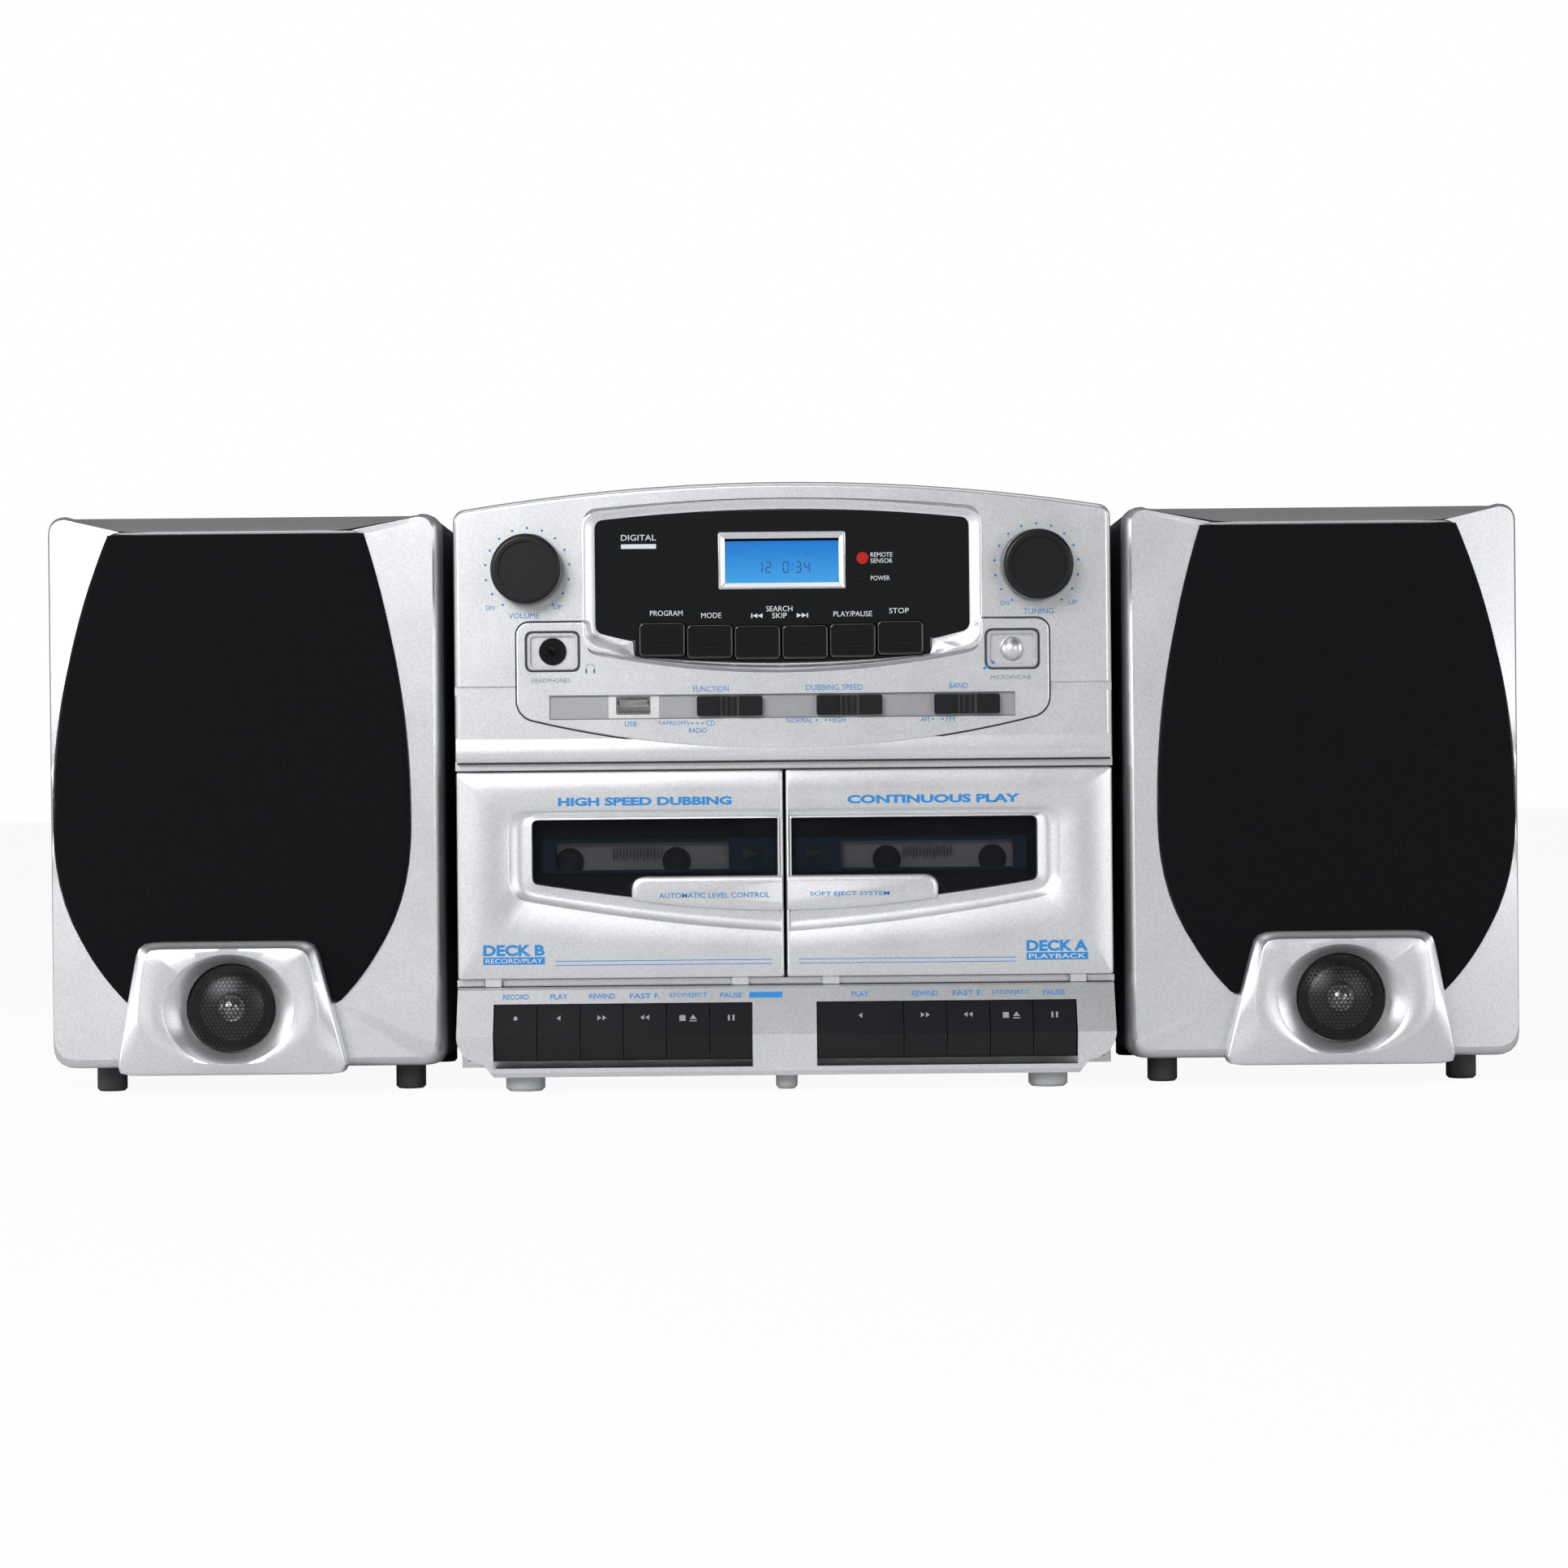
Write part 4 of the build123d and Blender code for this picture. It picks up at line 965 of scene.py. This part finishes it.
SMOKE = smoked("smoked acrylic", (0.003, 0.004, 0.006), 0.42)
paint(["deck_b_window", "deck_a_window"], SMOKE)
CLEAR_GREY = rubber("clear grey shell", (0.42, 0.43, 0.45))
STRIP_BLUE = rubber("dark blue strip", (0.016, 0.042, 0.085))
# Near black for real parts such as the tweeter cups and gauge pointers, and for the sheets and bars that paint
# shade.
NEAR_BLACK = rubber("near black and painted shade", (0.006, 0.006, 0.007))
TAPE_BROWN = rubber("dark tape", (0.020, 0.015, 0.013))
HUB_Z = 90.7
STRIP_BOTTOM, STRIP_TOP = 86.3, 99.7
VIEW_BOTTOM, VIEW_TOP = 87.4, 98.1
for deck, side, hubs, view, strip_ends, first_tooth, pointer in (
        ("b", -1, (-85.6, -43.1), (-90.9, -22.3), (-96.3, -3.9), -68.1, -13.5),
        ("a", 1, (40.6, 82.7), (22.3, 90.9), (3.9, 96.3), 47.2, 12.0)):
    door = f"deck_{deck}_door"
    strip = bmesh.new()
    bar(strip, *strip_ends, VIEW_TOP, STRIP_TOP, 3.3, 3.5)
    bar(strip, *strip_ends, STRIP_BOTTOM, VIEW_BOTTOM, 3.3, 3.5)
    bar(strip, strip_ends[0], view[0], VIEW_BOTTOM, VIEW_TOP, 3.3, 3.5)
    bar(strip, view[1], strip_ends[1], VIEW_BOTTOM, VIEW_TOP, 3.3, 3.5)
    piece(f"deck_{deck}_blue_strip", strip, STRIP_BLUE, door)
    shell = bmesh.new()
    bar(shell, *view, VIEW_BOTTOM, VIEW_TOP, 6.4, 6.8)
    piece(f"deck_{deck}_view", shell, CLEAR_GREY, door)
    reels = bmesh.new()
    for hub in hubs:
        tube(reels, hub, HUB_Z, 5.6, 5.8, 6.3, 48)
    piece(f"deck_{deck}_tape_packs", reels, TAPE_BROWN, door)
    teeth = bmesh.new()
    for hub in hubs:
        tube(teeth, hub, HUB_Z, 3.4, 5.2, 5.7, 32)
    for i in range(15):
        x = first_tooth + i * 1.36
        bar(teeth, x - 0.14, x + 0.14, 90.8 + (i % 3) * 0.7, 96.4 - (i % 2) * 0.9, 5.2, 5.5)
    piece(f"deck_{deck}_hubs", teeth, CHARCOAL, door)
    pointer_mark = bmesh.new()
    plate(pointer_mark, [(pointer - 3.4, 91.2), (pointer - 3.4, 95.8), (pointer + 3.4, 93.5)], 3.05, 3.25)
    piece(f"deck_{deck}_pointer", pointer_mark, NEAR_BLACK, door)
    fill = bmesh.new()
    bar(fill, *sorted((side * 12.0, side * 9.8)), 76, 96.2, 1.76, 3.15)
    piece(f"deck_{deck}_window_key", fill, SMOKE, door)
    # Painted shade: black sheets behind the window stand in for the shaded inside of the deck.
    shade_backing = bmesh.new()
    bar(shade_backing, side * 65 - 51, side * 65 + 51, 56, 119, 7.0, 7.4)
    bar(shade_backing, *sorted((side * 16, side * 2.9)), 72, 109, 3.6, 3.9)
    piece(f"deck_{deck}_backing", shade_backing, NEAR_BLACK, door)

# ==== tweeter guards ================================================================================
# A guard of perforated sheet steel, domed and painted black, is pressed into the throat of each
# horn plate; behind it sit the tweeter's bright dome, its grey cone and the dark cup.
MESH_R = 17.2
DOME_R = 24.0
HOLE_PITCH = 1.75
ROW_PITCH = HOLE_PITCH * 0.866
GUARD_FLATTEN = 0.72
CONE_GREY = metal("grey cone", (0.07, 0.07, 0.075), (0.15, 0.15, 0.16), 0.3)
FACE_FORWARD = Matrix.Rotation(math.pi / 2, 4, "X")


def guard_sheet(x_mid):
    """Sheet of six-sided holes, cut to a disc and pressed to a dome."""
    bm = bmesh.new()
    rows = int(MESH_R / ROW_PITCH) + 1
    for row in range(-rows, rows + 1):
        for column in range(-rows, rows + 1):
            dx = (column + (row % 2) / 2) * HOLE_PITCH
            dz = row * ROW_PITCH
            if math.hypot(dx, dz) > MESH_R - HOLE_PITCH * 0.5:
                continue
            place = Matrix.Translation(Vector((dx, 0, dz)) * MM) @ FACE_FORWARD
            bmesh.ops.create_circle(bm, cap_ends=True, segments=6, radius=HOLE_PITCH / math.sqrt(3) * MM,
                                    matrix=place @ Matrix.Rotation(math.radians(30), 4, "Z"))
    bmesh.ops.remove_doubles(bm, verts=bm.verts, dist=0.2 * MM)
    bars = set(bmesh.ops.inset_individual(bm, faces=bm.faces[:], thickness=0.3 * MM)["faces"])
    bmesh.ops.delete(bm, geom=[face for face in bm.faces if face not in bars], context="FACES")
    edge_drop = math.sqrt(DOME_R ** 2 - MESH_R ** 2)
    for v in bm.verts:
        rise = math.sqrt(max(DOME_R ** 2 - (v.co.x ** 2 + v.co.z ** 2) * 1e6, 0)) - edge_drop
        v.co += Vector((x_mid, FASCIA_Y - 8.2 - rise * GUARD_FLATTEN, TWEETER_Z)) * MM
    bmesh.ops.recalc_face_normals(bm, faces=bm.faces)
    bmesh.ops.solidify(bm, geom=bm.faces[:], thickness=0.4 * MM)
    return bm


for name, x_mid in (("left", TWEETER_X), ("right", -TWEETER_X)):
    speaker = f"{name}_speaker"
    piece(f"{name}_tweeter_guard", guard_sheet(x_mid), BLACK, speaker)
    dome = bmesh.new()
    bmesh.ops.create_uvsphere(dome, u_segments=32, v_segments=16, radius=6.6 * MM,
                              matrix=Matrix.Translation(Vector((x_mid, FASCIA_Y - 4.6, TWEETER_Z)) * MM))
    piece(f"{name}_tweeter_dome", dome, STEEL, speaker, True)
    cup = bmesh.new()
    tube(cup, x_mid, TWEETER_Z, MESH_R, -5.4, 15.0, 48)
    inside = piece(f"{name}_tweeter_cup", cup, NEAR_BLACK, speaker, True)
    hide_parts(f"{name}_tweeter")
    cone = bmesh.new()
    place = Matrix.Translation(Vector((x_mid, FASCIA_Y - 5.9, TWEETER_Z)) * MM) @ FACE_FORWARD
    bmesh.ops.create_cone(cone, cap_ends=True, segments=48, radius1=12.8 * MM, radius2=10.8 * MM,
                          depth=1.2 * MM, matrix=place)
    piece(f"{name}_tweeter_ring", cone, CONE_GREY, speaker, True)

# ==== fascia roll ===================================================================================
# The upper fascia swells forward along its lower edge and then rolls under. It is part of the
# front cabinet's moulding and wears the same lacquer.
ROLL_PROFILE = [(0.08, 140.0), (-0.25, 138.4), (-0.55, 136.2), (-0.7, 134.2), (-0.6, 132.6),
                (-0.3, 131.4), (0.08, 130.6)]
roll = bmesh.new()
skin(roll, [[roll.verts.new(Vector((x, y + FASCIA_Y, z)) * MM) for y, z in ROLL_PROFILE]
            for x in (-129.9, 129.9)], closed=False)
piece("fascia_roll", roll, SILVER, "main_unit", True)

# ==== parting lines, painted shade ==================================================================
# Shadow gaps between the mouldings, painted as near-black bars where the gaps fall in shade: under the
# upper fascia, above and below the doors, at the open ends of the door hinges, and round the control
# insert up to the display frame.
gaps = bmesh.new()
# painted shade: each bar is a near-black stand-in for the shade inside a gap
bar(gaps, -129.6, 129.6, 129.7, 130.4, -0.06, 0.2)
bar(gaps, -129.6, 129.6, 126.75, 127.15, -0.06, 0.2)
bar(gaps, -129.6, 129.6, 41.35, 41.8, -0.1, 0.2)
for side in (-1, 1):
    bar(gaps, *sorted((side * 112.5, side * 119.5)), 41.6, 43.9, -0.14, 0.2)
INSERT_TOP = 186
INSERT_ARCS = (    # centre, radius, first and last turn in degrees, and steps
    (-100.6, 181, 5, 90, 180, 8), (-97.6, 154.9, 8, 180, 256.3, 8), (0, 555, 419.8, 256.3, 283.7, 48),
    (97.6, 154.9, 8, 283.7, 360, 8), (100.6, 181, 5, 360, 450, 8))
route = [(-79.8, INSERT_TOP, 0, 1)]
for x, z, radius, start, end, steps in INSERT_ARCS:
    for k in range(steps):
        angle = math.radians(start + (end - start) * (k + 0.5) / steps)
        across, up = math.cos(angle), math.sin(angle)
        route.append((x + radius * across, z + radius * up, across, up))
route.append((79.8, INSERT_TOP, 0, 1))
GAP_SECTION = ((0.02, -0.05), (0.60, -0.05), (0.60, 0.25), (0.02, 0.25))
skin(gaps, [[gaps.verts.new(Vector((x + across * grow, y + FASCIA_Y, z + up * grow)) * MM)
             for grow, y in GAP_SECTION] for x, z, across, up in route], closed=False)
piece("shadow_gaps", gaps, NEAR_BLACK, "main_unit")

# ==== studio ========================================================================================
# A plain pale floor under an even white surround, lit by five soft boxes: a large key at the
# left, a weaker fill at the right, one overhead and a tall strip at each side.
WHITE = (1.0, 1.0, 1.0)
floor_mesh = bmesh.new()
bmesh.ops.create_grid(floor_mesh, x_segments=1, y_segments=1, size=12)
mesh = bpy.data.meshes.new("floor")
floor_mesh.to_mesh(mesh)
floor_mesh.free()
floor = bpy.data.objects.new("floor", mesh)
bpy.context.scene.collection.objects.link(floor)
material, tree, at = new_material("pale floor")
paper = mix_colour(tree, noise(tree, at, 3.0) * 0.2, shaded(WHITE, 0.9), shaded(WHITE, 0.86))
matte = node(tree, "BsdfPrincipled", {}, {"Base Color": paper, "Roughness": 0.7})
glow = node(tree, "Emission", {}, {"Color": WHITE, "Strength": 1.0})
seen = node(tree, "LightPath", {}, {}, 0)
blend = node(tree, "MixShader", {}, {0: seen * 0.94, 1: matte, 2: glow})
node(tree, "OutputMaterial", {}, {"Surface": blend})
mesh.materials.append(material)
floor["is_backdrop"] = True


def softbox(name, place, aim, size, power):
    """Rectangular soft light that points at aim."""
    data = bpy.data.lights.new(name, "AREA")
    data.shape = "RECTANGLE"
    data.size, data.size_y = size
    data.energy = power
    lamp = bpy.data.objects.new(name, data)
    lamp.location = place
    lamp.rotation_euler = (Vector(aim) - Vector(place)).to_track_quat("-Z", "Y").to_euler()
    bpy.context.scene.collection.objects.link(lamp)


softbox("front key softbox", (-0.95, -2.0, 1.05), (-0.05, -0.05, 0.12), (1.3, 0.9), 33)
softbox("front fill softbox", (1.2, -2.1, 0.5), (0.05, -0.05, 0.12), (0.9, 1.1), 8)
softbox("top softbox", (0, -0.3, 1.7), (0, 0.05, 0.1), (1.6, 0.8), 5)
softbox("left strip", (-1.5, -0.4, 0.35), (-0.2, 0, 0.13), (0.4, 1.0), 7)
softbox("right strip", (1.5, -0.4, 0.35), (0.2, 0, 0.13), (0.4, 1.0), 5)
world = bpy.data.worlds.new("studio")
world.use_nodes = True
tree = world.node_tree
tree.nodes.clear()
seen = node(tree, "LightPath", {}, {}, 0)
dim = node(tree, "Background", {}, {"Color": WHITE, "Strength": 0.12})
plain = node(tree, "Background", {}, {"Color": WHITE, "Strength": 1.0})
sky = node(tree, "MixShader", {}, {0: seen, 1: dim, 2: plain})
node(tree, "OutputWorld", {}, {"Surface": sky})
bpy.context.scene.world = world
bpy.context.scene.view_settings.view_transform = "Standard"

LENS_DISTANCE = 1.40
LENS_HEIGHT = 0.121
FIELD_WIDTH = 0.622    # how wide the view is in the fascia plane
SENSOR = 36
ROLL = math.radians(-0.55)
camera_data = bpy.data.cameras.new("camera")
camera_data.sensor_width = SENSOR
camera_data.lens = SENSOR * LENS_DISTANCE / FIELD_WIDTH
camera = bpy.data.objects.new("camera", camera_data)
camera.matrix_world = (Matrix.Translation((0, FASCIA_Y * MM - LENS_DISTANCE, LENS_HEIGHT))
                       @ Matrix.Rotation(math.pi / 2, 4, "X") @ Matrix.Rotation(ROLL, 4, "Z"))
bpy.context.scene.collection.objects.link(camera)
bpy.context.scene.camera = camera

low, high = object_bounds()
